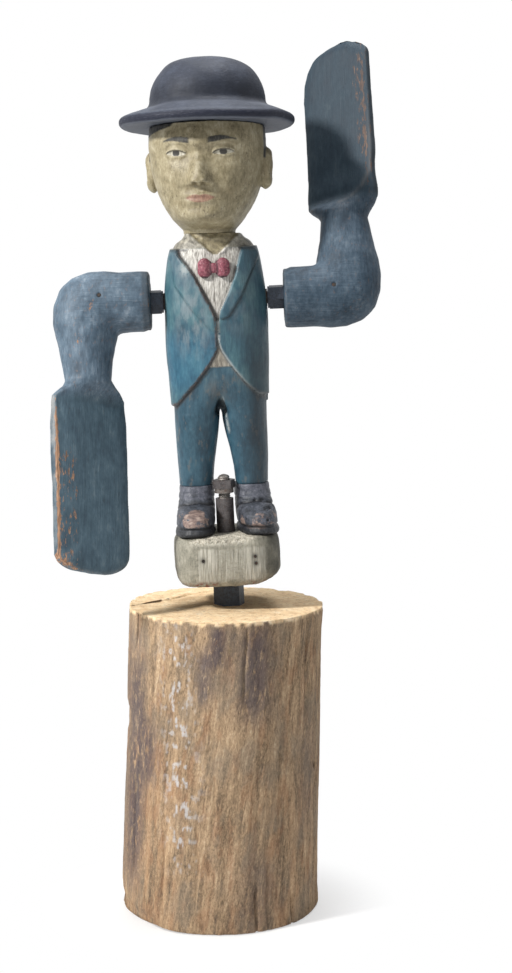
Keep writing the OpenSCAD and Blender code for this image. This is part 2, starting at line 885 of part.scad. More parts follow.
function head_ring(h) = [
  for (a = head_angles)
    let (
      u = head_half(h) * power(sin(a), 0.92),
      out = cos(a) > 0 ? head_front(h) : head_rear(h),
      relief = cos(a) > 0 ? face(u, h) * ease(cos(a) * 2) : 0
    )
    [u, -out * power(cos(a), 0.92) - relief, neck_l + h]
];

head_steps = concat(
  [-neck_l, -1],
  [for (k = [0 : 25]) mix(0.6, head_h, k / 25)]
);

// An ear, from the brow down to the foot of the nose
module ear(side) {
  ear_l = (brow_h - nose_h) * 1.12;
  middle = (brow_h + nose_h) / 2;
  translate([side * (head_w / 2 - 1.6), 5, neck_l + middle])
    rotate([-8, 0, 0])
      loft([
        for (k = [0 : 8])
          let (t = -1 + k / 4, round = pow(max(0.02, 1 - pow(abs(t), 2.4)), 0.5), lobe = 1 + 0.2 * t)
          [
            for (i = [0 : 11])
              let (a = i * 30)
              [
                side * (1 + 0.6 * t) + 4.6 * round * cos(a),
                7.6 * round * lobe * sin(a),
                t * ear_l / 2
              ]
          ]
      ]);
}

module head() {
  color("#a89b78")
    in_head()
      difference() {
        union() {
          loft([for (h = head_steps) head_ring(h)]);
          ear(-1);
          ear(1);
          translate([0, 0, -neck_seat])
            cylinder(h = neck_seat + 0.5, d = neck_d);
        }
        translate([0, 0, neck_l + head_h - dowel_l / 2 - fit_gap])
          cylinder(h = dowel_l, d = dowel_d + 2 * fit_gap);
      }
}

module hat_dowel() {
  color("#b08f62")
    in_head()
      translate([0, 0, neck_l + head_h - dowel_l / 2])
        cylinder(h = dowel_l, d = dowel_d);
}

// Profile of the hat, from the middle of its underside out round the brim and up the crown
hat_profile = let (edge = brim_t / 2) concat(
  [[0, 0], [brim_r - edge, 0]],
  [for (a = [-75 : 15 : 75]) [brim_r - edge + edge * cos(a), edge + edge * sin(a)]],
  [
    [mix(crown_r, brim_r, 0.62), brim_t * 1.22],
    [mix(crown_r, brim_r, 0.3), brim_t * 1.5],
    [mix(crown_r, brim_r, 0.08), brim_t * 1.74]
  ],
  [
    for (k = [0 : 12])
      let (a = k * 7.5)
      [
        crown_r * (0.985 * power(cos(a), 0.72)),
        mix(brim_t * 2, hat_h, power(sin(a), 0.92))
      ]
  ]
);

module bowler_hat() {
  color("#3b3f49")
    in_head()
      translate([0, 0, neck_l + head_h])
        difference() {
          rotate_extrude($fn = 96)
            polygon(hat_profile);
          translate([0, 0, -cut])
            cylinder(h = cut + dowel_l / 2 + fit_gap, d = dowel_d + 2 * fit_gap);
        }
}

// Arms

module arm_axle() {
  left_end = hub_u(-1) + axle_grip;
  right_end = hub_u(1) + axle_grip;
  color("#2b2b2d")
    on_axle()
      difference() {
        along_x(-left_end, left_end + right_end, axle_d);
        place_arm_nails()
          cylinder(h = arm_nail_l, d = arm_nail_d + 2 * fit_gap);
      }
}

module mirrored_along_axle(side) {
  rotate([0, side > 0 ? 180 : 0, 0])
    children();
}

module arm_washer(side) {
  on_axle()
    mirrored_along_axle(side)
      difference() {
        along_x(-arm_washer_u - arm_washer_t, arm_washer_t, arm_washer_d);
        along_x(-arm_nut_u - cut, arm_nut_u, axle_d + 2 * fit_gap);
      }
}

module left_arm_washer() {
  color("#2c2d2f")
    arm_washer(-1);
}

module right_arm_washer() {
  color("#2c2d2f")
    arm_washer(1);
}

module arm_nut(side) {
  on_axle()
    mirrored_along_axle(side)
      difference() {
        along_x(-hub_u(side), nut_h_at(side), arm_nut_across, 6);
        along_x(-hub_u(side) - cut, hub_u(side), axle_d + 2 * fit_gap);
      }
}

module left_arm_nut() {
  color("#1f2124")
    arm_nut(-1);
}

module right_arm_nut() {
  color("#1f2124")
    arm_nut(1);
}

// The arm nails enter the front of each round end and go through the axle
arm_nail_l = hub_r + axle_d;

module place_arm_nails() {
  for (side = [-1, 1])
    place_arm_nail(side)
      children();
}

module place_arm_nail(side) {
  mirrored_along_axle(side)
    translate([-hub_u(side) - arm_nail_at, 0.8 - hub_r, 0])
      rotate([-90, 0, 0])
        children();
}

// Rounding inside the elbow, and how much wider than the forearm the elbow ends
elbow_fillet = 4;
elbow_swell = 4;

// Pitch of the wrist, and how square the paddle's section is
wrist_pitch = 12;
paddle_square = 3.4;

// How far out the tips of the paddles are from their middle lines, as a share of the half width
left_tip = -0.14;
right_tip = 0.3;

// The middle lines of the forearm, the wrist and the paddle, in from the outside of the elbow
forearm_in = 2 + forearm_w / 2;
wrist_in = 5.5 + wrist_w / 2;
paddle_in = 20.8;

// The elbow is bent about this point, inside the bend
bend_in = forearm_w + elbow_swell + elbow_fillet;
bend_z = hub_offset - hub_r - elbow_fillet;

// The rings of an arm are placed from the outside of its elbow at [0, 0, 0] on the axle's line.
// Ring of an arm: its middle, the way to its outer side, half sizes across and through,
// how square it is, and how it is pitched about the arm's length
function arm_ring(middle, out, half, thick, square, pitch) =
  let (
    across = [out[0] * cos(pitch), -sin(pitch), out[1] * cos(pitch)],
    through = [-out[0] * sin(pitch), -cos(pitch), -out[1] * sin(pitch)]
  )
  [
    for (i = [0 : 23])
      let (a = -15 * i)
      middle + half * power(cos(a), 2 / square) * across + thick * power(sin(a), 2 / square) * through
  ];

// The round end, which the axle enters
function hub_rings() = [
  for (p = [[0, 0.95], [0.8, 1], [0.5 * (elbow_reach - forearm_w), 1]])
    arm_ring([elbow_reach - p[0], 0, hub_offset], [0, 1], p[1] * hub_r, p[1] * hub_r, 2, 0)
];

// The elbow: rings that swing a quarter turn about the bend, with a full outer corner
function elbow_rings() = [
  for (k = [0 : 7])
    let (
      turn = k * 90 / 7,
      corner = 7 * pow(sin(2 * turn), 1.4),
      size = mix(hub_d, forearm_w + elbow_swell, k / 7) + corner,
      out = [-sin(turn), cos(turn)],
      middle = [bend_in, 0, bend_z] + (elbow_fillet + size / 2) * [out[0], 0, out[1]]
    )
    arm_ring(middle, out, size / 2, mix(hub_r, forearm_w / 2, k / 7), 2 + 0.1 * sin(2 * turn), 0)
];

// The forearm tapers to the wrist
function forearm_rings() = [
  for (t = [0.25, 0.5, 0.75, 1])
    let (
      z = mix(bend_z, -wrist_r, t),
      half = mix(forearm_w + 2, wrist_w, t) / 2,
      x = mix(forearm_in, wrist_in, t)
    )
    arm_ring([x, 0, z], [-1, 0], half, mix(0.49 * forearm_w, 0.42 * wrist_w, t), 2, wrist_pitch * t)
];

// The paddle swells from the wrist at its shoulders and stays flat to its end
function shoulder_rings(paddle_w) = [
  for (t = [0.25, 0.5, 0.75, 1])
    let (
      z = mix(-wrist_r, -paddle_r, t),
      x = mix(wrist_in, paddle_in, ease(t * 1.2)),
      half = mix(wrist_w, paddle_w, ease(t * 1.1)) / 2
    )
    arm_ring([x, 0, z], [-1, 0], half, mix(0.42 * wrist_w, paddle_t / 2, ease(t)),
      mix(2, paddle_square, t), mix(wrist_pitch, paddle_pitch, ease(t)))
];

// Share of the half width left at one edge of the paddle, at a distance from its end
function end_share(distance, length) = pow(max(0, 1 - pow(max(0, 1 - distance / length), 2.3)), 1 / 2.3);

// The rounding of the end starts at the tip, which is off the middle line by a share of the half width
function paddle_rings(paddle_w, outer_l, inner_l, tip) = [
  for (d = [arm_r - paddle_r - 18, (arm_r - paddle_r) * 0.5, inner_l * 1.02, inner_l * 0.7, inner_l * 0.45,
      inner_l * 0.28, inner_l * 0.15, inner_l * 0.06, 0])
    let (
      outer = mix(tip, 1, end_share(d + 0.15, outer_l)),
      inner = mix(tip, -1, end_share(d + 0.15, inner_l)),
      shift = (outer + inner) / 2 * paddle_w / 2,
      half = (outer - inner) / 2 * paddle_w / 2,
      taper = mix(0.86, 1, d / (arm_r - paddle_r)),
      thin = taper * mix(0.62, 1, end_share(d, outer_l))
    )
    arm_ring(
      [paddle_in - shift * cos(paddle_pitch), -shift * sin(paddle_pitch), -arm_r + d],
      [-1, 0], half, thin * paddle_t / 2, paddle_square, paddle_pitch
    )
];

module arm(side, paddle_w, outer_l, inner_l, tip) {
  on_axle()
    mirrored_along_axle(side)
      difference() {
        translate([-elbow_u(side), 0, 0])
          loft(concat(
            hub_rings(), elbow_rings(), forearm_rings(), shoulder_rings(paddle_w),
            paddle_rings(paddle_w, outer_l, inner_l, tip)
          ));
        along_x(-hub_u(side) - axle_grip - fit_gap, axle_grip + 2 * cut, axle_d + 2 * fit_gap);
        translate([-hub_u(side) - arm_nail_at, -hub_d, 0])
          rotate([-90, 0, 0])
            cylinder(h = hub_d + 0.8 - hub_r + arm_nail_l + fit_gap, d = arm_nail_d + 2 * fit_gap);
      }
}

module left_arm() {
  color("#4f6470")
    arm(-1, left_paddle_w, left_end_l, left_end_l, left_tip);
}

module right_arm() {
  color("#4f6470")
    arm(1, right_paddle_w, left_end_l * 0.8, right_end_l, right_tip);
}

module arm_nail(side) {
  on_axle()
    place_arm_nail(side)
      cylinder(h = arm_nail_l, d = arm_nail_d);
}

module left_arm_nail() {
  color("#2a2522")
    arm_nail(-1);
}

module right_arm_nail() {
  color("#2a2522")
    arm_nail(1);
}

log_stand();
pivot_rod();
rod_collar();
thrust_washer();
retaining_washer();
retaining_nut();
base_block();
pivot_sleeve();
block_nails();
left_shoe();
right_shoe();
foot_screws();
coat_and_legs();
bow_tie();
head();
hat_dowel();
bowler_hat();
shoulder_tube();
arm_axle();
left_arm_washer();
right_arm_washer();
left_arm_nut();
right_arm_nut();
left_arm();
right_arm();
left_arm_nail();
right_arm_nail();
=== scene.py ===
# Looks of the carved wooden whirligig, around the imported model.
# Sizes are in millimetres until a mesh is made, then in metres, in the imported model's own frame.
import bpy
import numpy as np
from functools import reduce
from itertools import product
from math import radians
from mathutils import Matrix, Vector


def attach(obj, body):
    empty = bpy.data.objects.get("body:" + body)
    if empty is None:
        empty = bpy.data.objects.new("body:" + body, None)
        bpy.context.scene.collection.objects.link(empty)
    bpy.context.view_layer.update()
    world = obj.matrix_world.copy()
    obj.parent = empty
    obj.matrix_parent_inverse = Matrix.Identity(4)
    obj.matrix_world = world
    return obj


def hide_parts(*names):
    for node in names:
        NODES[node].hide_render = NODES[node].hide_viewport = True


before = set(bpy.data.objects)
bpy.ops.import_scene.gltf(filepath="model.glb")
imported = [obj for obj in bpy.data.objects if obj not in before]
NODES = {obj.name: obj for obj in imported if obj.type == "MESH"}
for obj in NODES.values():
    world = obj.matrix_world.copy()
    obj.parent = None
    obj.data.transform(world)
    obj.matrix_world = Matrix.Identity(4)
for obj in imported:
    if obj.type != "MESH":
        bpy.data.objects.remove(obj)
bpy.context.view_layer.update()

# Sizes, as in the part's source
LOG_H, LOG_TOP_D, LOG_FOOT_D, LOG_DRIFT = 200, 125, 130, 4.5
ROD_X, LEAN, ROD_D = 7.0, 2.5, 8
BLOCK_V, BLOCK_H, BLOCK_TURN = 16.314, 31.5, 5
SHOE_V = BLOCK_V + BLOCK_H
SHOE_H, TOE_OUT = 30, 8
ANKLE_V = SHOE_V + SHOE_H
BODY_BACK = 9.5
ANKLE_W, ANKLE_GAP, ANKLE_DEPTH, LEG_L = 57, 13, 26, 48
HIP_W, CHEST_W, SHOULDER_W, CHEST_DEPTH = 64, 65.4, 57, 50
COAT_T, LAPEL_T = 1.8, 0.9
AXLE_V = LEG_L + 70.5
SHOULDER_V = LEG_L + 107
COLLAR_TOP_V = SHOULDER_V + 5
HEM_V = LEG_L + 3.5
TAIL_V = HEM_V - 16
CUTAWAY_V = LEG_L + 40.5
YOKE_V = 151.5
V_NECK_V = LEG_L + 60
TIE_V = SHOULDER_V - 15.5
TIE_W, TIE_H, TIE_T = 19.6, 11.9, 4.2
NECK_D, NECK_L = 26, 3
HEAD_W, HEAD_DEPTH, HEAD_H = 74.5, 76, 64.5
HEAD_TILT, HEAD_TURN, HEAD_ROLL, HEAD_SHIFT = 5, 8, 0.5, 1.8
CROWN_D = 77
ARM_REST, ARM_R, PADDLE_PITCH = 22, 176, 34
SLEEVE_TOP = SHOE_V + 21.5
RETAINING_V = SLEEVE_TOP + 3.6
NUT_V = RETAINING_V + 3
ROD_TOP = NUT_V + 5.4 + 3.6

# Voxels of the carved meshes
VOXEL = {"log": 0.9, "block": 0.6, "shoe": 0.45, "coat": 0.55, "head": 0.5, "hat": 0.8, "arm": 0.7}


def moved(x, y, z):
    return Matrix.Translation((x, y, z))


def turned(degrees, axis):
    return Matrix.Rotation(radians(degrees), 4, axis)


ON_ROD = moved(ROD_X, 0, LOG_H) @ turned(-LEAN, "Y")
ON_BLOCK = ON_ROD @ turned(BLOCK_TURN, "Z")
IN_BODY = ON_ROD @ moved(0, BODY_BACK, ANKLE_V)
IN_HEAD = (IN_BODY @ moved(-HEAD_SHIFT, 0, COLLAR_TOP_V) @ turned(-HEAD_TURN, "Z")
           @ turned(HEAD_ROLL, "Y") @ turned(-HEAD_TILT, "X"))
ON_AXLE = IN_BODY @ moved(0, 0, AXLE_V) @ turned(-ARM_REST, "X")
WORLD = Matrix.Identity(4)


# Numbers over arrays

def mix(a, b, t):
    return a + (b - a) * t


def ease(t):
    s = np.clip(t, 0, 1)
    return s * s * (3 - 2 * s)


def band(x, low, high, soft):
    """1 between two places and 0 outside them, with soft edges."""
    return ease((x - low) / soft + 0.5) * ease((high - x) / soft + 0.5)


def bell(x, width):
    return np.exp(-x * x / (2 * width * width))


def power(x, n):
    return np.sign(x) * np.abs(x) ** n


def curve(pairs, x):
    """Smooth curve through [place, value] pairs, as in the part's source."""
    place, value = np.array(pairs, float).T
    last = len(place) - 1
    low = np.maximum(np.arange(last + 1) - 1, 0)
    high = np.minimum(np.arange(last + 1) + 1, last)
    slope = (value[high] - value[low]) / (place[high] - place[low])
    k = np.clip(np.searchsorted(place, x, side="right") - 1, 0, last - 1)
    h = place[k + 1] - place[k]
    s = np.clip((x - place[k]) / h, 0, 1)
    return (value[k] * (2 * s ** 3 - 3 * s ** 2 + 1) + slope[k] * h * (s ** 3 - 2 * s ** 2 + s)
            + value[k + 1] * (3 * s ** 2 - 2 * s ** 3) + slope[k + 1] * h * (s ** 3 - s ** 2))


def lattice(x, y, z, seed):
    """A fixed random value from -1 to 1 for each corner of a grid."""
    h = (x * 374761393 + y * 668265263 + z * 1274126177 + seed * 362437) & 0xFFFFFFFF
    h = ((h ^ (h >> 13)) * 1103515245) & 0xFFFFFFFF
    h = ((h ^ (h >> 16)) * 2246822519) & 0xFFFFFFFF
    return ((h ^ (h >> 15)) & 0xFFFF) / 32767.5 - 1


def noise(points, size, seed=0, octaves=1):
    """Smooth noise from -1 to 1 with features as wide as size says, in mm."""
    total, weight = 0, 0
    for o in range(octaves):
        p = points / np.array(size, float) * 2 ** o + 57.3 * o
        i = np.floor(p).astype(np.int64)
        f = p - i
        f = f * f * f * (f * (6 * f - 15) + 10)
        value = 0
        for corner in product((0, 1), repeat=3):
            wx, wy, wz = np.where(corner, f, 1 - f).T
            value = value + wx * wy * wz * lattice(*(i + corner).T, seed + 17 * o)
        total = total + value * 0.5 ** o
        weight += 0.5 ** o
    return total / weight


def grid(rows, step):
    """Places by row, and angles all round each by a step in degrees."""
    return np.meshgrid(rows, np.radians(np.arange(0, 360, step)), indexing="ij")


def apply(matrix, points):
    m = np.array(matrix)
    return points @ m[:3, :3].T + m[:3, 3]


def away_from(line, x, y):
    """Distance to a line through places on a level."""
    best = np.full(np.shape(x), 99.0)
    for a, b in zip(np.array(line[:-1], float), np.array(line[1:], float)):
        t = np.clip(((x - a[0]) * (b - a)[0] + (y - a[1]) * (b - a)[1]) / ((b - a) ** 2).sum(), 0, 1)
        best = np.minimum(best, np.hypot(x - mix(a[0], b[0], t), y - mix(a[1], b[1], t)))
    return best


def marks(angle, z, *rows):
    """Soft marks round a solid: share, angle, its spread, lower and upper end, softness of the ends."""
    return sum(share * bell(angle - at, wide) * band(z, low, high, soft) for share, at, wide, low, high, soft in rows)


# Meshes

def set_up(thing, **settings):
    """The thing, with its settings made."""
    for key, value in settings.items():
        setattr(thing, key, value)
    return thing


def placed(name, data):
    """A new object in the scene."""
    piece = bpy.data.objects.new(name, data)
    bpy.context.scene.collection.objects.link(piece)
    return piece


def mesh_of(piece):
    """A mesh of a piece as its modifiers leave it."""
    return bpy.data.meshes.new_from_object(piece.evaluated_get(bpy.context.evaluated_depsgraph_get()))


def modified(piece, kind, **settings):
    """The piece, with a modifier applied to its mesh."""
    set_up(piece.modifiers.new(kind, kind), **settings)
    old, mesh = piece.data, mesh_of(piece)
    piece.modifiers.clear()
    piece.data = mesh
    bpy.data.meshes.remove(old)
    return piece


def loft(rings):
    """Points and faces of a closed solid through an array of rings."""
    rows, count = rings.shape[:2]
    points = rings.reshape(-1, 3)
    here = np.arange(count)
    beyond = (here + 1) % count
    row = np.arange(rows - 1)[:, None] * count
    a, b = (row + here).ravel(), (row + beyond).ravel()
    sides = np.stack([a, b, b + count, a + count], 1)
    n, last = len(points), (rows - 1) * count
    foot = np.stack([np.full(count, n), beyond, here], 1)
    top = np.stack([np.full(count, n + 1), last + here, last + beyond], 1)
    return np.vstack([points, points[:count].mean(0), points[-count:].mean(0)]), [sides, foot, top]


def bar(start, along, radius):
    """A round bar from a point along a vector."""
    a = np.radians(np.arange(0, 360, 7.5))
    along = np.array(along, float)
    x = np.cross(along, (0, 1, 0) if abs(along[1]) < abs(along).max() else (1, 0, 0))
    x = x / np.linalg.norm(x)
    y = np.cross(along, x) / np.linalg.norm(along)
    ring = radius * (np.cos(a)[:, None] * x + np.sin(a)[:, None] * y)
    return loft(np.stack([ring + start, ring + start + along]))


def new_object(name, solids, matrix=WORLD):
    """One object of several solids, from millimetres in a frame to metres in the model's frame."""
    points, faces, n = [], [], 0
    for p, groups in solids:
        points.append(apply(matrix, p) * 0.001)
        faces += [face + n for face in groups]
        n += len(p)
    mesh = bpy.data.meshes.new(name)
    mesh.from_pydata(np.vstack(points), [], [face.tolist() for group in faces for face in group])
    return placed(name, mesh)


def copy_of(node, name):
    """A copy of a node's mesh, to be carved further."""
    mesh = mesh_of(NODES[node])
    mesh.materials.clear()
    return placed(name, mesh)


def refined(piece, voxel):
    """The piece, remeshed evenly with a voxel in mm."""
    return modified(piece, "REMESH", mode="VOXEL", voxel_size=voxel * 0.001)


def drill(piece, solids, matrix):
    """Takes solids out of a piece."""
    cutter = new_object("cutter", solids, matrix)
    modified(piece, "BOOLEAN", operation="DIFFERENCE", solver="MANIFOLD", object=cutter)
    bpy.data.objects.remove(cutter)


def read(rows, key, width, kind=float):
    """An array of what a mesh keeps for its points or edges."""
    values = np.empty(len(rows) * width, kind)
    rows.foreach_get(key, values)
    return values.reshape(-1, width)


class Carving:
    """The points of a piece in a frame, in mm, while it is carved."""

    def __init__(self, piece, matrix=WORLD):
        self.piece, self.mesh, self.matrix = piece, piece.data, matrix
        self.axes = np.array(matrix)[:3, :3]
        self.world = read(self.mesh.vertices, "co", 3) * 1000
        self.edges = read(self.mesh.edges, "vertices", 2, int)
        self.degree = np.bincount(self.edges.ravel(), minlength=len(self.world))

    @property
    def p(self):
        return apply(self.matrix.inverted(), self.world)

    @p.setter
    def p(self, points):
        self.world = apply(self.matrix, points)

    def store(self):
        self.mesh.vertices.foreach_set("co", (self.world * 0.001).ravel())
        self.mesh.update()

    def around(self, values):
        """Mean of the neighbours' values."""
        if values.ndim > 1:
            return np.stack([self.around(column) for column in values.T], 1)
        a, b = self.edges.T
        return (np.bincount(a, values[b], len(values)) + np.bincount(b, values[a], len(values))) / self.degree

    def smooth(self, times, amount=0.6):
        for _ in range(times):
            self.world = self.world + (self.around(self.world) - self.world) * amount

    def normals(self):
        """Normals in the carving's frame."""
        self.store()
        return read(self.mesh.vertex_normals, "vector", 3) @ self.axes

    def push(self, height):
        """Moves the surface out by a height in mm."""
        self.world = self.world + (self.normals() @ self.axes.T) * height[:, None]

    def curvature(self, spread):
        """How far the surface stands out from its surroundings: positive on edges, in mm."""
        outward = self.normals() @ self.axes.T
        mean = self.world
        for _ in range(spread):
            mean = self.around(mean)
        return ((self.world - mean) * outward).sum(1)

    def paint(self, **masks):
        """Keeps masks from 0 to 1 for the material."""
        for name, values in masks.items():
            attribute = self.mesh.attributes.new(name, "FLOAT", "POINT")
            attribute.data.foreach_set("value", np.clip(values, 0, 1).astype(np.float32))

    def done(self, body, node, material):
        self.store()
        self.mesh.polygons.foreach_set("use_smooth", np.ones(len(self.mesh.polygons), bool))
        self.mesh.materials.clear()
        self.mesh.materials.append(material)
        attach(self.piece, body)
        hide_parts(node)


# Materials. Noise is written as size, octaves, roughness and shift, and follows low and high in patches.

def srgb(text):
    """A colour written as #rrggbb, for a socket."""
    values = [int(text[k:k + 2], 16) / 255 for k in (1, 3, 5)]
    return [v / 12.92 if v <= 0.04045 else ((v + 0.055) / 1.055) ** 2.4 for v in values] + [1]


class Value:
    """A node's output, which can be added and multiplied."""

    def __init__(self, nodes, socket):
        self.nodes, self.socket = nodes, socket

    def __add__(self, other):
        return self.nodes.math("ADD", self, other)

    def __sub__(self, other):
        return self.nodes.math("SUBTRACT", self, other)

    def __rsub__(self, other):
        return self.nodes.math("SUBTRACT", other, self)

    def __mul__(self, other):
        return self.nodes.math("MULTIPLY", self, other)

    def __abs__(self):
        return self.nodes.math("ABSOLUTE", self)


class Nodes:
    """The nodes of a material or world, written briefly."""

    def __init__(self, owner):
        owner.use_nodes = True
        self.tree = owner.node_tree
        self.tree.nodes.clear()

    def node(self, kind, inputs=None, **settings):
        """A new node whose inputs take values, colours as #rrggbb, or other nodes' outputs."""
        node = set_up(self.tree.nodes.new("ShaderNode" + kind), **settings)
        for key, value in (inputs or {}).items():
            if isinstance(value, Value):
                self.tree.links.new(value.socket, node.inputs[key])
            else:
                node.inputs[key].default_value = srgb(value) if isinstance(value, str) else value
        return node

    def add(self, kind, inputs=None, output=0, **settings):
        """An output of a new node."""
        return Value(self, self.node(kind, inputs, **settings).outputs[output])

    def math(self, operation, a, b=0.0):
        return self.add("Math", {0: a, 1: b}, operation=operation)

    def seen(self):
        """1 for the camera's rays, also those off metal or through glass, and 0 for light on the object."""
        path = self.node("LightPath").outputs
        rays = [Value(self, path[name]) for name in ("Is Camera Ray", "Is Glossy Ray", "Is Transmission Ray")]
        return reduce(lambda a, b: self.math("MAXIMUM", a, b), rays)


class Look(Nodes):
    """A material. A size is the width of a feature in mm, and a turn of the grain is in degrees."""

    def __init__(self, name, turn=(0, 0, 0)):
        self.material = bpy.data.materials.new(name)
        super().__init__(self.material)
        self.turn = [radians(a) for a in turn]
        self.place = self.add("TexCoord", output="Object")

    def noise(self, size, detail=2, rough=0.55, shift=0.0, warp=0.0):
        """Noise from 0 to 1. A shift makes it differ from other noise of its size."""
        scale = [s * 0.001 for s in (size if np.ndim(size) else [size] * 3)]
        place = self.add("Mapping", {
            "Vector": self.place, "Location": (shift, shift * 0.7, shift * 1.3), "Rotation": self.turn,
            "Scale": scale}, vector_type="TEXTURE")
        return self.add("TexNoise", {
            "Vector": place, "Scale": 1.0, "Detail": detail, "Roughness": rough, "Distortion": warp}, "Fac")

    def ramp(self, factor, *stops):
        """A colour by stops of (place, colour)."""
        node = self.node("ValToRGB", {"Fac": factor})
        elements = node.color_ramp.elements
        while len(elements) < len(stops):
            elements.new(0.5)
        for element, (place, colour) in zip(elements, stops):
            element.position, element.color = place, srgb(colour)
        return Value(self, node.outputs[0])

    def step(self, value, low, high):
        """A smooth step from 0 at the low value to 1 at the high one."""
        return self.add("MapRange", {"Value": value, "From Min": low, "From Max": high},
                        interpolation_type="SMOOTHSTEP")

    def patches(self, low, high, *noise):
        """A smooth step over noise."""
        return self.step(self.noise(*noise), low, high)

    def mask(self, name, share=1):
        """A share of what the carving painted under a name."""
        value = self.add("Attribute", output="Fac", attribute_name=name)
        return value if share == 1 else value * share

    def mix(self, factor, a, b):
        return self.add("Mix", {0: factor, 6: a, 7: b}, 2, data_type="RGBA")

    def layers(self, colour, *tops):
        """A colour under layers of (cover, colour), where a cover is a value or a mask's name."""
        for cover, top in tops:
            colour = self.mix(self.mask(cover) if isinstance(cover, str) else cover, colour, top)
        return colour

    def finish(self, colour, rough, height, depth, specular=0.5, metal=0.0):
        """Sets the surface. The height's bump is depth mm deep."""
        bump = self.add("Bump", {"Height": height, "Strength": 1.0, "Distance": depth * 0.001})
        surface = self.add("BsdfPrincipled", {
            "Base Color": colour, "Roughness": rough, "Metallic": metal, "Specular IOR Level": specular,
            "Normal": bump})
        self.node("OutputMaterial", {0: surface})
        return self.material


LOG_GRAIN = (0, 8, 0)  # degrees by which the grain leans to the right


def log_wood():
    w = Look("log_wood", LOG_GRAIN)
    fibre = w.noise((0.8, 0.8, 12), 5, 0.68, warp=0.5)
    broad = w.noise((6, 6, 60), 4, 0.6, 11)
    fuzz = w.noise((1.3, 1.3, 2.6), 4, 0.75, 17)
    streaks = w.noise((3, 3, 20), 4, 0.65, 5, 0.8)
    side = w.layers(
        w.ramp(fibre * 0.12 + streaks * 0.26 + (broad * 0.3 + fuzz * 0.32),
               (0.38, "#574a40"), (0.45, "#826e58"), (0.5, "#9e866b"), (0.55, "#b4997b"), (0.62, "#d1bb9d")),
        (w.patches(0.5, 0.64, (9, 9, 26), 4, 0.6, 91) * 0.3, "#96684a"),
        (w.patches(0.46, 0.64, (15, 15, 30), 3, 0.6, 23) * 0.45, w.mix(fuzz, "#6e6458", "#8c8375")),
        (w.mask("orange") * w.step(broad, 0.4, 0.62) * 0.4, "#ab8059"),
        (w.mask("stain") * w.patches(0.32, 0.5, (3, 3, 9), 4, 0.7, 31) * 0.85, w.mix(fuzz, "#403a40", "#685d5d")),
        (w.patches(0.6, 0.7, (0.9, 0.9, 3), 3, 0.65, 41) * 0.55, "#3f3026"),
        (w.patches(0.6, 0.7, (0.8, 0.8, 3.4), 3, 0.65, 45) * 0.45, "#c9b08d"),
        # Painted shade in the cracks, the worm hole and the split
        (w.mask("crack", 0.85), "#2a1d15"))
    w.turn = [0, 0, 0]
    top = w.mix(
        w.patches(0.56, 0.66, 2.2, 3, 0.6, 71) * 0.4,
        w.ramp(w.noise((26, 0.9, 5), 2, 0.6, 51) * 0.4 + w.noise((6, 6, 300), 4, 0.7, 61) * 0.6,
               (0.34, "#d5b087"), (0.5, "#f0d3a9"), (0.66, "#fae8cb")), "#8f6d4b")
    drip = w.mask("drip") * w.patches(0.32, 0.42, 1.6, 2, 0.6, 81) * 0.8
    colour = w.layers(side, ("top", top), (drip, w.mix(w.noise(2, 2), "#a3a1a3", "#dbdadb")))
    return w.finish(colour, 0.85, fibre * 0.4 + fuzz, 0.5, 0.2)


def block_paint():
    w = Look("block_paint")
    grain = w.noise((0.8, 3, 16), 4, 0.65, 3)
    fine = w.noise(1.6, 4, 0.7, 19)
    light = w.ramp(grain, (0.34, "#8f8b7e"), (0.48, "#b0ac9f"), (0.6, "#c5c1b5"), (0.7, "#d3d0c5"))
    wood = w.ramp(w.noise((0.8, 1.6, 3), 4, 0.65, 33), (0.35, "#958c7b"), (0.52, "#cdc6b6"), (0.68, "#e9e4d8"))
    colour = w.layers(
        w.ramp(grain * 0.25 + (w.noise(7, 4, 0.65, 13) * 0.45 + fine * 0.3),
               (0.34, "#5f5e55"), (0.46, "#888578"), (0.56, "#9f9b8d"), (0.68, "#b3b0a2")),
        (w.step(w.mask("patch") + fine * 0.5, 0.4, 1.0) * 0.85, light),
        (w.mask("bare") * w.step(fine, 0.36, 0.5), wood),
        (w.mask("rust") * w.patches(0.46, 0.6, 2.4, 3, 0.6, 43), "#7c483c"),
        # Grime and painted shade
        (w.mask("dirt", 0.85), "#3a3a34"))
    return w.finish(colour, 0.7, grain + fine * 0.8, 0.4, 0.3)


def shoe_paint():
    w = Look("shoe_paint")
    fine = w.noise(1.2, 4, 0.7, 9)
    blend = w.noise(4, 4, 0.7, 5) * 0.6 + fine * 0.4
    wood = w.ramp(w.noise((5, 2, 2.2), 3, 0.6, 25), (0.34, "#5d4f4a"), (0.5, "#84716a"), (0.66, "#a8968b"))
    bare = w.step(w.mask("bare") + w.noise(1.8, 4, 0.7, 35) * 0.9, 0.78, 0.96)
    colour = w.layers(
        w.ramp(blend, (0.36, "#202329"), (0.5, "#3d4149"), (0.6, "#565a64"), (0.7, "#737480")),
        ("cuff", w.ramp(blend, (0.36, "#34373e"), (0.5, "#545761"), (0.64, "#74747f"))),
        ("sole", w.ramp(fine, (0.4, "#131417"), (0.65, "#33353a"))),
        (bare * w.step(w.mask("bare"), 0.05, 0.2), wood),
        # Painted shade
        (w.mask("dirt", 0.9), "#101115"))
    return w.finish(colour, 0.5, blend, 0.5, 0.4)


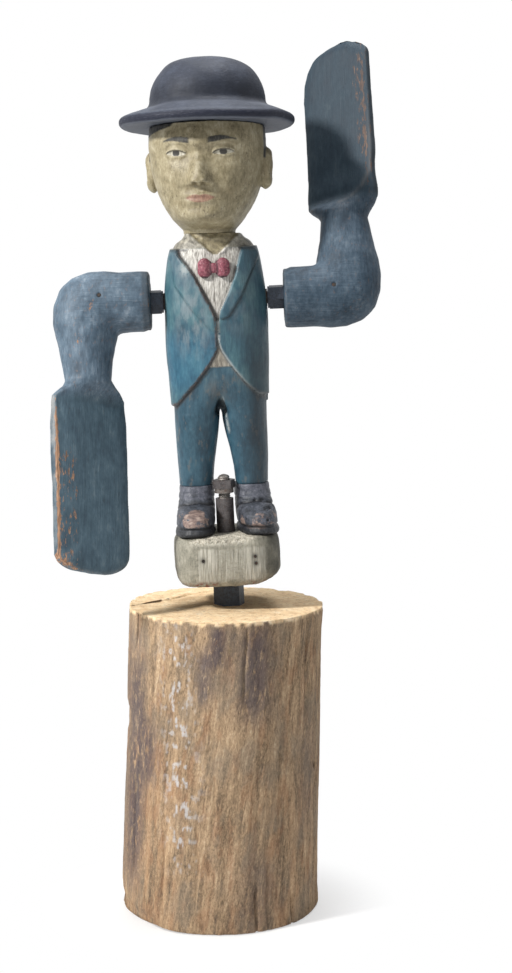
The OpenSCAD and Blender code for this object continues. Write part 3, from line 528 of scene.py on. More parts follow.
def coat_paint():
    w = Look("coat_paint")
    grain = w.noise((0.7, 0.7, 16), 4, 0.65, 7)
    fine = w.noise((2.2, 2.2, 5), 3, 0.6, 27)
    blend = w.noise((11, 11, 20), 4, 0.6, 17) * 0.6 + (fine * 0.25 + grain * 0.15)
    deep = w.ramp(blend, (0.34, "#1d445a"), (0.46, "#275870"), (0.56, "#386b81"), (0.68, "#588090"))
    # Rubbed, lighter paint, with a painted highlight high on the left lapel
    rub = w.mask("rub") * w.patches(0.36, 0.6, (5, 5, 11), 4, 0.6, 37) * 0.7
    coat = w.layers(
        w.ramp(blend, (0.34, "#24414f"), (0.46, "#305362"), (0.56, "#40656f"), (0.68, "#5d7c83")),
        (w.mask("deep", 0.8), deep), (rub, w.mix(grain, "#68757c", "#8a9599")))
    legs = w.layers(
        w.ramp(blend, (0.34, "#1a2f3c"), (0.46, "#234454"), (0.57, "#345666"), (0.68, "#50666d")),
        (w.patches(0.56, 0.66, (4, 4, 8), 4, 0.65, 67) * 0.45, "#66625c"), (rub, "#6d6a63"))
    shirt = w.ramp(w.noise((0.8, 0.8, 9), 4, 0.7, 47),
                   (0.34, "#6f6b65"), (0.45, "#a19d96"), (0.56, "#c8c5be"), (0.68, "#e2e0db"))
    yoke = w.ramp(w.noise(4, 4, 0.65, 53), (0.35, "#5f5c54"), (0.5, "#8c887c"), (0.66, "#b2ad9f"))
    skin = w.ramp(w.noise(3, 4, 0.65, 59), (0.34, "#5f5744"), (0.5, "#857b60"), (0.66, "#a2997c"))
    tan = w.ramp(w.noise((0.9, 0.9, 6), 3, 0.7, 57), (0.35, "#69635a"), (0.52, "#8f897d"), (0.7, "#aca79b"))
    wood = w.ramp(w.noise((1.2, 1.2, 6), 3, 0.65, 77), (0.36, "#282729"), (0.5, "#483c39"), (0.66, "#716057"))
    colour = w.layers(
        coat, ("legs", legs), ("shirt", shirt), ("yoke", yoke), ("skin", skin), ("tan", tan),
        (w.mask("worn") * w.patches(0.32, 0.46, (2, 2, 5), 3, 0.65, 87) * 0.9, wood),
        # Painted highlights with a whitish line beside the fronts' overlap, then painted shade
        (w.mask("pale") * w.patches(0.3, 0.5, 2.5, 3, 0.6, 97), "#9fa6a6"), (w.mask("dirt", 0.85), "#161d22"))
    return w.finish(colour, w.noise(4, 3, 0.6, 107) * 0.3 + 0.34, grain + w.noise(0.8, 2) * 0.3, 0.22)


def tie_paint():
    w = Look("tie_paint")
    lines = w.noise((0.45, 2, 3), 3, 0.65, 9)
    colour = w.layers(
        w.ramp(lines * 0.5 + w.noise(1.1, 4, 0.7, 29) * 0.5,
               (0.36, "#4b2932"), (0.46, "#773a48"), (0.54, "#94525f"), (0.64, "#b58a8f")),
        (w.patches(0.58, 0.68, 0.9, 3, 0.7, 39) * 0.6, "#c3a7a6"),
        # Dark specks of paint, then painted shade beside the knot and along the lower edge
        (w.patches(0.57, 0.68, 1.2, 3, 0.7, 49) * 0.7, "#40252c"), (w.mask("dirt", 0.9), "#26262a"),
        (w.mask("worn") * w.patches(0.4, 0.55, 1.2, 3, 0.6, 19), "#b99a93"))
    return w.finish(colour, 0.55, lines, 0.25, 0.4)


def skin_paint():
    w = Look("skin_paint")
    fine = w.noise((1.3, 1.3, 3), 4, 0.65, 12)
    split = w.step(abs(w.noise((5, 5, 13), 3, 0.6, 72) - 0.5), 0.014, 0.004) * w.patches(0.5, 0.62, 12, 2, 0.6, 82)
    colour = w.layers(
        w.ramp(w.noise(7, 4, 0.65, 37) * 0.6 + fine * 0.4,
               (0.34, "#6a614b"), (0.45, "#867c61"), (0.55, "#9b9176"), (0.67, "#b4ab92")),
        (w.patches(0.55, 0.7, (6, 6, 10), 3, 0.6, 62) * 0.4, "#7b6e52"), (split * 0.7, "#4a412f"),
        # Painted shade with the mouth's dark line, then worn edges
        (w.mask("dirt", 0.85), "#473f2c"), (w.mask("worn") * w.patches(0.4, 0.52, 1.6, 3, 0.6, 32), "#d3cbb0"),
        ("lips", w.ramp(fine, (0.4, "#7d574c"), (0.65, "#a67e6c"))),
        ("white", w.ramp(fine, (0.4, "#a29d8d"), (0.65, "#c4c0b0"))), ("iris", "#34322e"),
        ("hair", w.ramp(w.noise((1, 1, 5), 3, 0.6, 42), (0.4, "#1f2022"), (0.65, "#45443f"))))
    return w.finish(colour, 0.5, fine + w.noise(0.7, 2) * 0.5, 0.22, 0.4)


def hat_paint():
    w = Look("hat_paint")
    fine = w.noise((2.5, 2.5, 1.2), 4, 0.65, 14)
    scratch = w.mask("worn") * w.patches(0.54, 0.62, (3.5, 3.5, 0.5), 3, 0.6, 24)
    colour = w.layers(
        w.ramp(w.noise(14, 4, 0.6, 4) * 0.6 + fine * 0.4, (0.35, "#232833"), (0.5, "#2c313d"), (0.64, "#3a404d")),
        # Painted light under the brim and a painted sheen on its top, the darker rolled edge, and painted shade at
        # the foot of the crown
        (w.mask("under", 0.7), "#646973"), (w.mask("edge", 0.9), "#141828"), (w.mask("dirt", 0.8), "#16181d"),
        (scratch * 0.25, "#666a78"))
    return w.finish(colour, w.noise(5, 3, 0.6, 34) * 0.2 + 0.5, fine + w.noise(0.8, 2) * 0.3, 0.25, 0.26)


def arm_paint(name, turn, dark):
    """Weathered paint with the grain along Z in the arm's frame, or along X in its upper part.
    Dark says how much painted shade darkens the arm and its blade."""
    w = Look(name, turn)
    grain = w.mix(w.mask("upper"), w.noise((0.7, 1.2, 18), 4, 0.65, 6), w.noise((18, 0.8, 0.8), 4, 0.65, 16))
    cloud = w.noise((10, 10, 18), 4, 0.6, 26)
    fine = w.noise((2.4, 2.4, 5), 4, 0.65, 66)
    blend = cloud * 0.5 + grain * 0.22 + fine * 0.28
    brown = w.patches(0.58, 0.68, (2, 2, 4), 4, 0.7, 76) * 0.45 * (1.0 - w.mask("blade"))
    wood = w.ramp(w.noise((0.9, 0.9, 10), 3, 0.65, 46),
                  (0.34, "#5e4636"), (0.48, "#8d6a50"), (0.6, "#aa8368"), (0.7, "#c0a38b"))
    bare = w.step(w.mask("bare") + (w.noise((1.8, 1.8, 6), 4, 0.75, 56) - 0.5) * 2.2, 0.42, 0.56)
    colour = w.layers(
        w.ramp(blend, (0.36, "#2a3a48"), (0.46, "#405363"), (0.55, "#566979"), (0.66, "#7f8b96")),
        ("blade", w.ramp(blend, (0.36, "#2a3c4a"), (0.46, "#384e5b"), (0.56, "#495f6c"), (0.68, "#687880"))),
        (w.step(grain, 0.64, 0.74) * 0.22, "#9aa0a0"), (brown, "#7d6a60"),
        (w.patches(0.62, 0.7, (1, 1, 6), 3, 0.6, 36) * 0.6, "#273138"),
        # Grey paint on the left blade's outer strip and on edges, and on the right blade a painted highlight along
        # its ridge
        (w.mask("grey") * w.step(cloud, 0.3, 0.6), "#8a8b8b"),
        (bare * w.step(w.mask("bare"), 0.03, 0.1), wood),
        # Painted shade over the arm and more over its blade, as dark says; then painted shade in hollows, at the left
        # arm's inner end and on the right blade's outer strip
        (w.mask("blade", dark[1] - dark[0]) + dark[0], "#0c1a26"), (w.mask("dirt", 0.85), "#1b2227"))
    return w.finish(colour, cloud * 0.25 + 0.48, grain * 0.7 + fine * 0.5, 0.3, 0.5 - 0.5 * dark[0])


def dowel_wood():
    w = Look("dowel_wood")
    return w.finish(w.ramp(w.noise((0.8, 0.8, 15), 3), (0.35, "#a07f52"), (0.65, "#c9aa7c")), 0.7, w.noise(1), 0.1)


def iron(name, dark, light, rust, amount, rough, metal):
    w = Look(name)
    fine = w.noise(0.7, 4, 0.65, 18)
    colour = w.ramp(w.noise(2.4, 4, 0.65, 8) * 0.5 + fine * 0.5, (0.36, dark), (0.62, light))
    colour = w.mix(w.patches(0.5, 0.66, 1.8, 4, 0.65, 28) * amount, colour, rust)
    return w.finish(colour, fine * 0.25 + rough, fine, 0.12, metal=metal)


# Camera, light and floor, in metres

CAMERA_AT, LENS, SENSOR_H = (0.01194, -1.2758, 0.44552), 49.33, 24
LOOKS_DOWN, LOOKS_RIGHT = 7.543, 0.554  # degrees
# Name, place, place it is aimed at, power in watts, width, colour
LAMPS = (("key", (-1.33, -0.83, 1.42), (0, 0, 0.35), 46, 0.2, (1, 0.985, 0.96)),
         ("top", (0.1, 0.2, 1.8), (0, 0, 0.3), 20, 0.7, (0.97, 0.98, 1)))
AMBIENT = 0.22  # light of the world on the object; the camera sees white
FLOOR_R, FLOOR_Z = 6.0, -0.0003
SHADOW_R, WHITE_R, NEAR_WHITE = 0.065, 0.12, 0.5  # the floor turns white between the radii, from a share
WHITE = (1, 1, 1, 1)


def set_stage():
    scene = bpy.context.scene
    scene.view_settings.view_transform = "Standard"
    camera = placed("camera", set_up(
        bpy.data.cameras.new("camera"), sensor_fit="VERTICAL", sensor_height=SENSOR_H, lens=LENS, clip_start=0.05))
    set_up(camera, location=CAMERA_AT, rotation_euler=(radians(90 - LOOKS_DOWN), 0, radians(-LOOKS_RIGHT)))
    scene.camera = camera

    for name, place, target, power, width, colour in LAMPS:
        lamp = placed(name, set_up(bpy.data.lights.new(name, "AREA"), energy=power, size=width, color=colour))
        aim = (Vector(target) - Vector(place)).to_track_quat("-Z", "Y").to_euler()
        set_up(lamp, location=place, rotation_euler=aim)

    scene.world = bpy.data.worlds.new("world")
    w = Nodes(scene.world)
    level = w.add("MapRange", {"Value": w.seen(), "To Min": AMBIENT, "To Max": 1.0})
    w.node("OutputWorld", {0: w.add("Background", {"Color": WHITE, "Strength": level})})

    mesh = bpy.data.meshes.new("floor")
    mesh.from_pydata([(x * FLOOR_R, y * FLOOR_R, 0) for x, y in ((-1, -1), (1, -1), (1, 1), (-1, 1))],
                     [], [(0, 1, 2, 3)])
    floor = placed("floor", mesh)
    floor.location.z = FLOOR_Z
    mesh.materials.append(bpy.data.materials.new("floor"))
    w = Nodes(mesh.materials[0])
    reach = w.add("VectorMath", {0: w.add("TexCoord", output="Object")}, "Value", operation="LENGTH")
    fade = w.add("MapRange", {"Value": reach, "From Min": SHADOW_R, "From Max": WHITE_R, "To Min": NEAR_WHITE},
                 interpolation_type="SMOOTHSTEP")
    matt = w.add("BsdfDiffuse", {"Color": (0.95, 0.95, 0.95, 1)})
    glow = w.add("Emission", {"Color": WHITE})
    w.node("OutputMaterial", {0: w.add("MixShader", {0: fade * w.seen(), 1: matt, 2: glow})})


# Pieces that stand

# Drying cracks: angle from the front in degrees, lower and upper end, width, depth
LOG_CRACKS = (
    (-64, 180, 210, 1.0, 3.2), (-60, 30, 92, 0.8, 1.6), (-33, 8, 60, 0.6, 1.2), (-12, 20, 74, 0.5, 1),
    (-3, 64, 100, 0.5, 1), (12, 150, 194, 0.6, 1.3), (22, 0, 30, 0.8, 2), (29, 2, 44, 0.6, 1.4),
    (36, 60, 118, 0.5, 1), (47, 0, 22, 0.8, 2), (58, 120, 190, 0.6, 1.4), (75, 20, 90, 0.8, 2),
    (110, 30, 170, 1.2, 3.5), (160, 60, 190, 1.0, 3), (-140, 10, 120, 1.2, 3), (-100, 40, 150, 0.9, 2.4))
TOP_SPLIT = [(-62, -8), (-53.1, -0.8), (-42.7, 6), (-27, 23.3), (-19, 35), (-5.5, 44.8)]


def build_log():
    c = Carving(refined(copy_of("log_stand", "log"), VOXEL["log"]))
    c.smooth(3)
    p = c.p
    p[:, 2] = np.minimum(LOG_H, p[:, 2] + 1.6 * ease((p[:, 2] - LOG_H + 4) / 3))
    c.p = p
    x, y, z = p.T
    middle = LOG_DRIFT * z / LOG_H
    angle = np.degrees(np.arctan2(y, x - middle))
    radius = np.hypot(x - middle, y)
    rim = mix(LOG_FOOT_D, LOG_TOP_D, z / LOG_H) / 2
    side = ease((radius - rim + 3.5) / 2)
    bore = ease((np.hypot(x - ROD_X, y) - 10.5) / 3)
    front = (angle + 90 + 180) % 360 - 180
    # Fibres, broad hollows between them, and slanted cuts low on the front
    slanted = c.p.copy()
    slanted[:, 0] += 0.45 * z * band(front, 0, 60, 30) * band(z, 0, 110, 50)
    h = (0.5 * noise(c.p, (6, 6, 60), 1, 2) + 0.17 * noise(slanted, (2, 2, 14), 2, 3)
         + 0.14 * noise(slanted, (1.6, 1.6, 4), 4, 2))
    h = side * (h - 0.05) * ease(z / 3)
    crack = np.zeros(len(z))
    wander = noise(c.p * (0, 0, 1), (40, 40, 24), 5, 3) * 2.2
    for at, low, high, wide, deep in LOG_CRACKS:
        away = np.radians((front - at + 180) % 360 - 180) * rim - wander
        run = band(z, low, high, 14)
        crack = np.maximum(crack, bell(away, wide * (0.35 + 0.65 * run)) * run * deep / 4)
    h -= 4 * crack * side
    # Worm hole and a shallow knot at the right
    away = np.hypot((front - 72) * np.pi / 180 * rim, (z - 98) * 0.8)
    h += side * (0.5 * bell(away - 4, 1.6) - 2.4 * bell(away, 1.2))
    hole = bell(away, 1.4)
    # Worn foot at the left
    h -= side * 2.2 * ease((12 + 0.1 * (-front - 60) - z) / 7) * ease((-front - 25) / 30) * (front > -140)
    # Broken rim round the sawn top
    chip = ease((z - LOG_H + 5) / 5) * ease((radius - rim + 6) / 6)
    h -= chip * 1.8 * np.maximum(0, noise(c.p, (6, 6, 9), 8, 3) - 0.02)
    # Notch in the left side, which stands out above it; the right side is a little flat
    h -= side * 1.5 * band(z, 117, 134, 5) * bell(front + 86, 9)
    h += side * (0.7 * bell(front + 90, 30) * ease((z - 132) / 8)
                 - 0.9 * bell(front - 90, 28) * band(z, 8, 188, 16))
    c.push(h * bore)
    # Saw marks on the top
    x, y, z = c.p.T
    top = ease((z - LOG_H + 1.6) / 1.2) * bore
    p = c.p
    p[:, 2] -= top * (0.1 + 0.2 * noise(p, (40, 1.6, 9), 9, 2))
    # The split across the top from the left rim, and the foot's lifted edge
    split = bell(away_from(TOP_SPLIT, x, y) + 0.25 * noise(p, (3, 3, 3), 10), 0.75) * ease((z - LOG_H + 6) / 2)
    p[:, 2] -= 2.6 * split * top
    p[:, 2] = np.clip(p[:, 2], 0, LOG_H)
    lifted = 2.6 * bell(front + 52, 18) * ease((z - 7) / -4) * ease((radius - rim + 5) / 3)
    p[:, 2] = np.maximum(p[:, 2], lifted)
    c.p = p
    c.smooth(1, 0.3)
    x, y, z = c.p.T
    n = c.normals()
    torn = side * ease((z - LOG_H + 2.4 + 2.6 * noise(c.p * (1, 1, 0.1), (3, 3, 9), 13, 2)) / 1.2)
    c.paint(top=np.maximum(ease((n[:, 2] - 0.45) / 0.3) * ease((z - LOG_H + 9) / 3), 0.9 * torn))
    # Painted shade in the cracks, the worm hole and the split across the top
    c.paint(crack=np.maximum(ease(np.maximum(crack * 1.6 - 0.25, hole)) * side, ease(split * 1.5 - 0.2)))
    stain = marks(front, z, (1, -4, 4, 172, 197, 8), (0.9, -11, 4, 148, 182, 16), (1, 19, 8, 138, 198, 26),
                  (0.8, -46, 5, 92, 132, 20), (0.7, -60, 8, 40, 160, 50), (0.5, 62, 8, 60, 130, 40),
                  (0.45, 22, 9, 0, 50, 30))
    c.paint(stain=stain + 0.5 * ease((-front - 48) / 10) * band(z, 20, 190, 20))
    c.paint(orange=marks(front, z, (1, -48, 14, 0, 120, 40), (0.5, 40, 12, 0, 90, 30)))
    drip = bell(front + 25 + 0.06 * (z - 120), 6.5) * band(z, 42, 196, 24)
    c.paint(drip=drip * ease(noise(c.p, (2, 2, 4), 12, 2) * 3.4 - 0.55))
    c.done("stand", "log_stand", log_wood())


ROD_FOOT, THREAD_V = -75, 66  # lower ends of the rod and of its thread
THREAD_PITCH, THREAD_DEEP, ROUNDING = 1.25, 0.62, 1.8


def build_rod():
    rows = np.arange(ROD_FOOT, ROD_TOP - ROUNDING, 0.2)
    v, a = grid(np.append(rows[rows < THREAD_V][::20], rows[rows >= THREAD_V]), 10)
    wave = np.abs(((v / THREAD_PITCH - a / (2 * np.pi)) % 1) * 2 - 1)
    r = ROD_D / 2 - THREAD_DEEP * wave * ease((v - THREAD_V) / 2)
    ring = np.stack([r * np.cos(a), r * np.sin(a), v], 2)
    for up, share in ((0.9, 0.8), (1.5, 0.5), (ROUNDING, 0.2)):
        cap = ring[-1:].copy()
        cap[..., :2] *= share
        cap[..., 2] = ROD_TOP - ROUNDING + up
        ring = np.concatenate([ring, cap])
    c = Carving(new_object("threaded_rod", [loft(ring)], ON_ROD))
    c.done("stand", "pivot_rod", iron("rod_iron", "#4b4745", "#a5a09a", "#6a4a38", 0.4, 0.38, 0.7))


# Block and shoes

LEG_U = (ANKLE_W + ANKLE_GAP) / 4
NAIL_HEADS = ((-17.5, 0.56), (15.5, 0.6), (15.8, 0.46))  # across, and up as a share of the block's height


def build_block():
    c = Carving(refined(copy_of("base_block", "block"), VOXEL["block"]), ON_BLOCK)
    c.smooth(8)
    x, y, z = c.p.T
    t = (z - BLOCK_V) / BLOCK_H
    bore = ease((np.hypot(x, y) - 7) / 3)
    h = 0.35 * noise(c.p, (7, 7, 11), 1, 3) + 0.22 * noise(c.p, (1.4, 1.4, 12), 2, 2) - 0.05
    edge = c.curvature(12)
    h -= 1.6 * np.maximum(0, edge - 0.25) * (0.6 + noise(c.p, 6, 3, 2))
    # The foot is worn up at the right end, and the front of the top is hewn into a hollow
    h -= 3 * ease((x - 14) / 16) * ease((0.3 - t) / 0.3)
    hewn = band(x, -26, 12, 12) * ease((t - 0.82) / 0.14) * ease((-y - 20) / 7)
    h -= hewn * (1.6 + 0.9 * noise(c.p, (2, 4, 6), 4, 2)) + 1.2 * ease((-x - 20) / 8) * ease((t - 0.8) / 0.2)
    heads = 0
    for u, up in NAIL_HEADS:
        heads = heads + bell(np.hypot(x - u, (t - up) * BLOCK_H), 1.5) * (y < -20)
    c.push((h - 0.5 * heads) * bore)
    c.smooth(1, 0.4)
    x, y, z = c.p.T
    t = (z - BLOCK_V) / BLOCK_H
    edge = c.curvature(10)
    worn = ease((edge - 0.12) / 0.5) * ease(noise(c.p, (5, 5, 4), 5, 3) * 1.4 + 0.55)
    on_top = ease((t - 0.9) / 0.08) * ease((-y - 4) / 8) * band(x, -16, 16, 10)
    c.paint(bare=np.maximum(np.maximum(worn * 0.7 * ease((t - 0.6) / 0.3), hewn), on_top))
    c.paint(patch=(0.45 * band(x, -20, 24, 5) + 0.5 * band(x, -21, -9, 3) + 0.4 * band(x, 9, 22, 4))
            * ease((-y - 20) / 8) * band(t, 0.12, 0.8, 0.14) * (0.95 + 0.35 * noise(c.p, (9, 9, 20), 6, 2)))
    # Darker along the foot and round the nail heads, painted shade in hollows, and darker ends: dark paint at the
    # left end, and at the right end painted shade as well
    ends = np.where(x < 0, ease((-x - 26) / 9), ease((x - 12) / 20)) * (0.75 + 0.4 * noise(c.p, (6, 6, 9), 8, 2))
    c.paint(dirt=ease((0.05 - t) / 0.1) * 0.8 + ease(-edge * 2.5 - 0.1) * 0.6 + 0.7 * heads
            + (0.28 + 0.87 * (x > 0)) * ends)
    c.paint(rust=ease((0.16 - t) / 0.12) * ease(noise(c.p, (9, 9, 30), 7, 2) * 2))
    c.done("figure", "base_block", block_paint())


def build_shoe(side):
    node = "left_shoe" if side < 0 else "right_shoe"
    matrix = ON_ROD @ moved(side * LEG_U, BODY_BACK, SHOE_V) @ turned(TOE_OUT if side > 0 else 0, "Z")
    c = Carving(refined(copy_of(node, "carved_" + node), VOXEL["shoe"]), matrix)
    c.smooth(6)
    x, y, z = c.p.T
    t = z / SHOE_H
    inside = ease((np.hypot(x, y) - 4) / 2)
    # Welt above the sole, the crease under the cuff, and knife cuts
    h = 0.3 * noise(c.p, (5, 5, 4), 11 + side, 3) + 0.12 * noise(c.p, 1.5, 13 + side, 2)
    h -= 0.8 * bell(t - 0.17, 0.022)
    crease = bell(z - 15.5 + 0.35 * (y + 8) + 1.2 * noise(c.p, 9, 15, 2), 0.9) * ease((-y - 3) / 4)
    h -= 0.9 * crease
    cuff = ease((t - 0.72) / 0.04)
    h += 0.15 * cuff - 0.3 * bell(t - 0.71, 0.02) - 0.25 * bell(t - 0.86, 0.02)
    if side > 0:
        h -= 1.4 * ease(noise(c.p, (6, 6, 5), 17, 2) * 3 - 0.9) * ease((-y - 12) / 5)
        h -= 0.8 * bell(y - 4 + 0.2 * z, 0.7) * ease((0.3 - t) / 0.1)
    c.push(h * inside)
    x, y, z = c.p.T
    edge = c.curvature(8)
    sole = ease((0.15 - t) / 0.03)
    c.paint(cuff=cuff * 0.9, sole=sole)
    if side < 0:
        oval = 1 - ((x + 1.8) / 10) ** 2 - ((z - 11 + 0.12 * x) / 6.5) ** 2
        bare = (ease(oval * 0.7 + 0.4) * (0.62 + 0.8 * noise(c.p, (6, 6, 4), 18, 3)) * ease((-y - 13) / 6)
                * (1 - sole) + 0.35 * ease(edge * 3 - 0.3))
    else:
        toe = ease((-y - 15) / 8) * (1 - sole) * (1 - cuff) * ease((0.55 - t) / 0.12)
        bare = toe * (0.36 + 0.6 * noise(c.p, (6, 6, 4), 19, 2)) + 0.4 * ease(edge * 3 - 0.3)
    c.paint(bare=bare)
    # Painted shade: in the groove above the sole, in the crease under the cuff, in hollows and on the shoe's inner
    # side
    inner = ease((-side * x - 3) / 6) * (1 - cuff) * ease((-y - 2) / 6)
    c.paint(dirt=np.maximum(0.9 * bell(t - 0.17, 0.03), 0.9 * crease) + ease(-edge * 3 - 0.2)
            + inner * (0.3 if side < 0 else 0.2))
    c.done("figure", node, LOOKS["shoe"])


# Trousers and coat

SHIRT_V, NECK_V, VEST_V = 106, 147, 76.7  # feet of the shirt's V, of the bare neck and of the waistcoat
CROTCH_V, SIDE_HEM_V = 58, 57
LAPEL_FOOT_V, LAPEL_END_V = 107, 147  # of the right lapel
SQUARE, LEG_ROUND = 0.85, 2.3  # powers of the coat's and the legs' outlines
TUBE_R, SCREW_R, SOCKET_R = 5.6, 2.4, 13.1  # bores of the shoulders, the legs and the neck


def body_half(v):
    half = CHEST_W / 2
    return curve([
        [0, ANKLE_W / 2], [LEG_L * 0.5, mix(ANKLE_W, HIP_W, 0.2) / 2], [LEG_L, HIP_W / 2 - COAT_T - 0.8],
        [CUTAWAY_V, half - COAT_T], [AXLE_V, half - COAT_T - 0.1],
        [mix(AXLE_V, SHOULDER_V, 0.6), mix(half, SHOULDER_W / 2, 0.6) - COAT_T],
        [SHOULDER_V - 4, SHOULDER_W / 2 - COAT_T - 0.6], [SHOULDER_V, SHOULDER_W / 2 - COAT_T - 3],
        [mix(SHOULDER_V, COLLAR_TOP_V, 0.5), NECK_D / 2 + 7], [COLLAR_TOP_V, NECK_D / 2 + 5]], v)


def body_deep(v):
    deep = CHEST_DEPTH
    return curve([
        [0, ANKLE_DEPTH / 2], [LEG_L * 0.5, mix(ANKLE_DEPTH, deep, 0.12) / 2],
        [LEG_L, mix(ANKLE_DEPTH, deep, 0.4) / 2], [CUTAWAY_V, mix(ANKLE_DEPTH, deep, 0.9) / 2 - COAT_T],
        [V_NECK_V, deep / 2 - COAT_T], [AXLE_V, deep * 0.49 - COAT_T],
        [mix(AXLE_V, SHOULDER_V, 0.6), deep * 0.44 - COAT_T], [SHOULDER_V - 4, deep * 0.4 - COAT_T],
        [SHOULDER_V, deep * 0.37 - COAT_T], [mix(SHOULDER_V, COLLAR_TOP_V, 0.5), NECK_D / 2 + 4.4],
        [COLLAR_TOP_V, NECK_D / 2 + 2.8]], v)


def leg_gap(v):
    return mix(ANKLE_GAP / 2, 0.8, ease(v / LEG_L))


def torso_solid():
    v, a = grid(np.arange(LEG_L - 6, COLLAR_TOP_V + 2, 0.8), 1.5)
    half, deep, gap = body_half(v), body_deep(v), leg_gap(v)
    u = half * power(np.cos(a), SQUARE)
    whole = power(np.sin(a), SQUARE)
    away = np.minimum(1, abs(abs(u) - (half + gap) / 2) / ((half - gap) / 2))
    leg = np.sign(np.sin(a)) * np.maximum(0.14, (1 - away ** LEG_ROUND) ** (1 / LEG_ROUND))
    parted = (1 - ease((v - LEG_L * 0.86) / (LEG_L * 0.5))) * (abs(whole) > 0.05)
    return loft(np.stack([u, deep * mix(whole, leg, parted), v], 2))


def leg_solid(side):
    v, a = grid(np.arange(0, LEG_L - 1, 0.8), 3)
    half, deep, gap = body_half(v), body_deep(v), leg_gap(v)
    u = side * (half + gap) / 2 + (half - gap) / 2 * power(np.cos(a), 2 / LEG_ROUND)
    return loft(np.stack([u, deep * power(np.sin(a), 2 / LEG_ROUND), v], 2))


def tail_half(v):
    return HIP_W * mix(0.27, 0.42, (v - TAIL_V) / (HEM_V - TAIL_V))


def tail_solid():
    v, a = grid(np.arange(TAIL_V, HEM_V + 3, 0.8), 2)
    u = body_half(v) * power(np.cos(a), SQUARE)
    wide = np.where(v < HEM_V - 0.4, tail_half(v), 99) - COAT_T
    y = np.maximum(4, body_deep(v) * power(np.sin(a), SQUARE))
    return loft(np.stack([np.clip(u, -wide, wide), y, v], 2))


def vent_solid():
    """The gap between the legs from front to back, a little wider at its right."""
    v = np.array([-3, 0, 12, 24, 34, 42, 46, 48.5])
    half = np.append(leg_gap(np.maximum(0, v[:-1])), 0.1)
    corners = [(1, -40), (1, 40), (-1, 40), (-1, -40)]
    wider = 1.3 * (1 - ease((v - 20) / 26))
    return loft(np.array([[(side * h + (side > 0) * w, y, z) for side, y in corners]
                          for h, w, z in zip(half, wider, v)]))


def coat_edges(p):
    """Signed distances: into the coat from its hem, and into the V of the shirt from either side."""
    u, y, v = p.T
    u = u + 0.25 * noise(p, (5, 5, 6), 61, 2)
    hem = np.where(
        u < 0,
        np.interp(u, [-28, -15, -5.5, 0], [51.9, 66.5, 78, 88.5]),
        np.interp(u, [0.3, 3.2, 10.2, 18.8, 24.9, 30.5], [95.2, 86.3, 74.9, 64.1, 58.3, SIDE_HEM_V]))
    behind = np.where(abs(u) > tail_half(v), HEM_V + 0.5, TAIL_V)
    hem = np.where(y > 4, behind, np.where(y > -9, np.minimum(hem, SIDE_HEM_V), hem))
    left = np.interp(v, [88, 107.9, 118.5, 135.5, 146.8, 160], [0, 0, -4.5, -12.9, -20.7, -24])
    right = np.interp(v, [95.2, 112, 124.1, 134, 146.8, 160], [0.3, 2.8, 9, 12.8, 16.3, 20])
    return (v - hem) * 0.65, (u - left) * 0.9, (right - u) * 0.9


def lapel_edges(p):
    """Distances into the left and the right lapel from their outer edges."""
    u, _, v = p.T
    left = u - np.interp(v, [98, 104.1, 115.5, 128.3, 143.6, 150], [-1, -6.7, -15.8, -23.6, -26, -27])
    right = np.interp(v, [LAPEL_FOOT_V, 108.5, 121.9, 148], [3.2, 7.6, 16.5, 28]) - u
    return left, right


def neck_edge(p):
    """Distance into the V in which the neck shows between the points of the collar."""
    u, _, v = p.T
    return 2.6 + (v - 148.5) * 1.05 - abs(u - 1.3 + 0.35 * noise(p, (3, 3, 3), 62))


def coat_masks(p, shirt_soft, hem_soft):
    """Masks of the front, the shirt and the coat, and the distances from the coat's edges."""
    _, y, v = p.T
    front = ease((-y - 4) / 5)
    into, from_left, from_right = coat_edges(p)
    shirt = front * ease(np.minimum(from_left, from_right) / shirt_soft + 0.5) * ease(v - SHIRT_V)
    return front, shirt, ease(into / hem_soft + 0.5), into, from_left, from_right


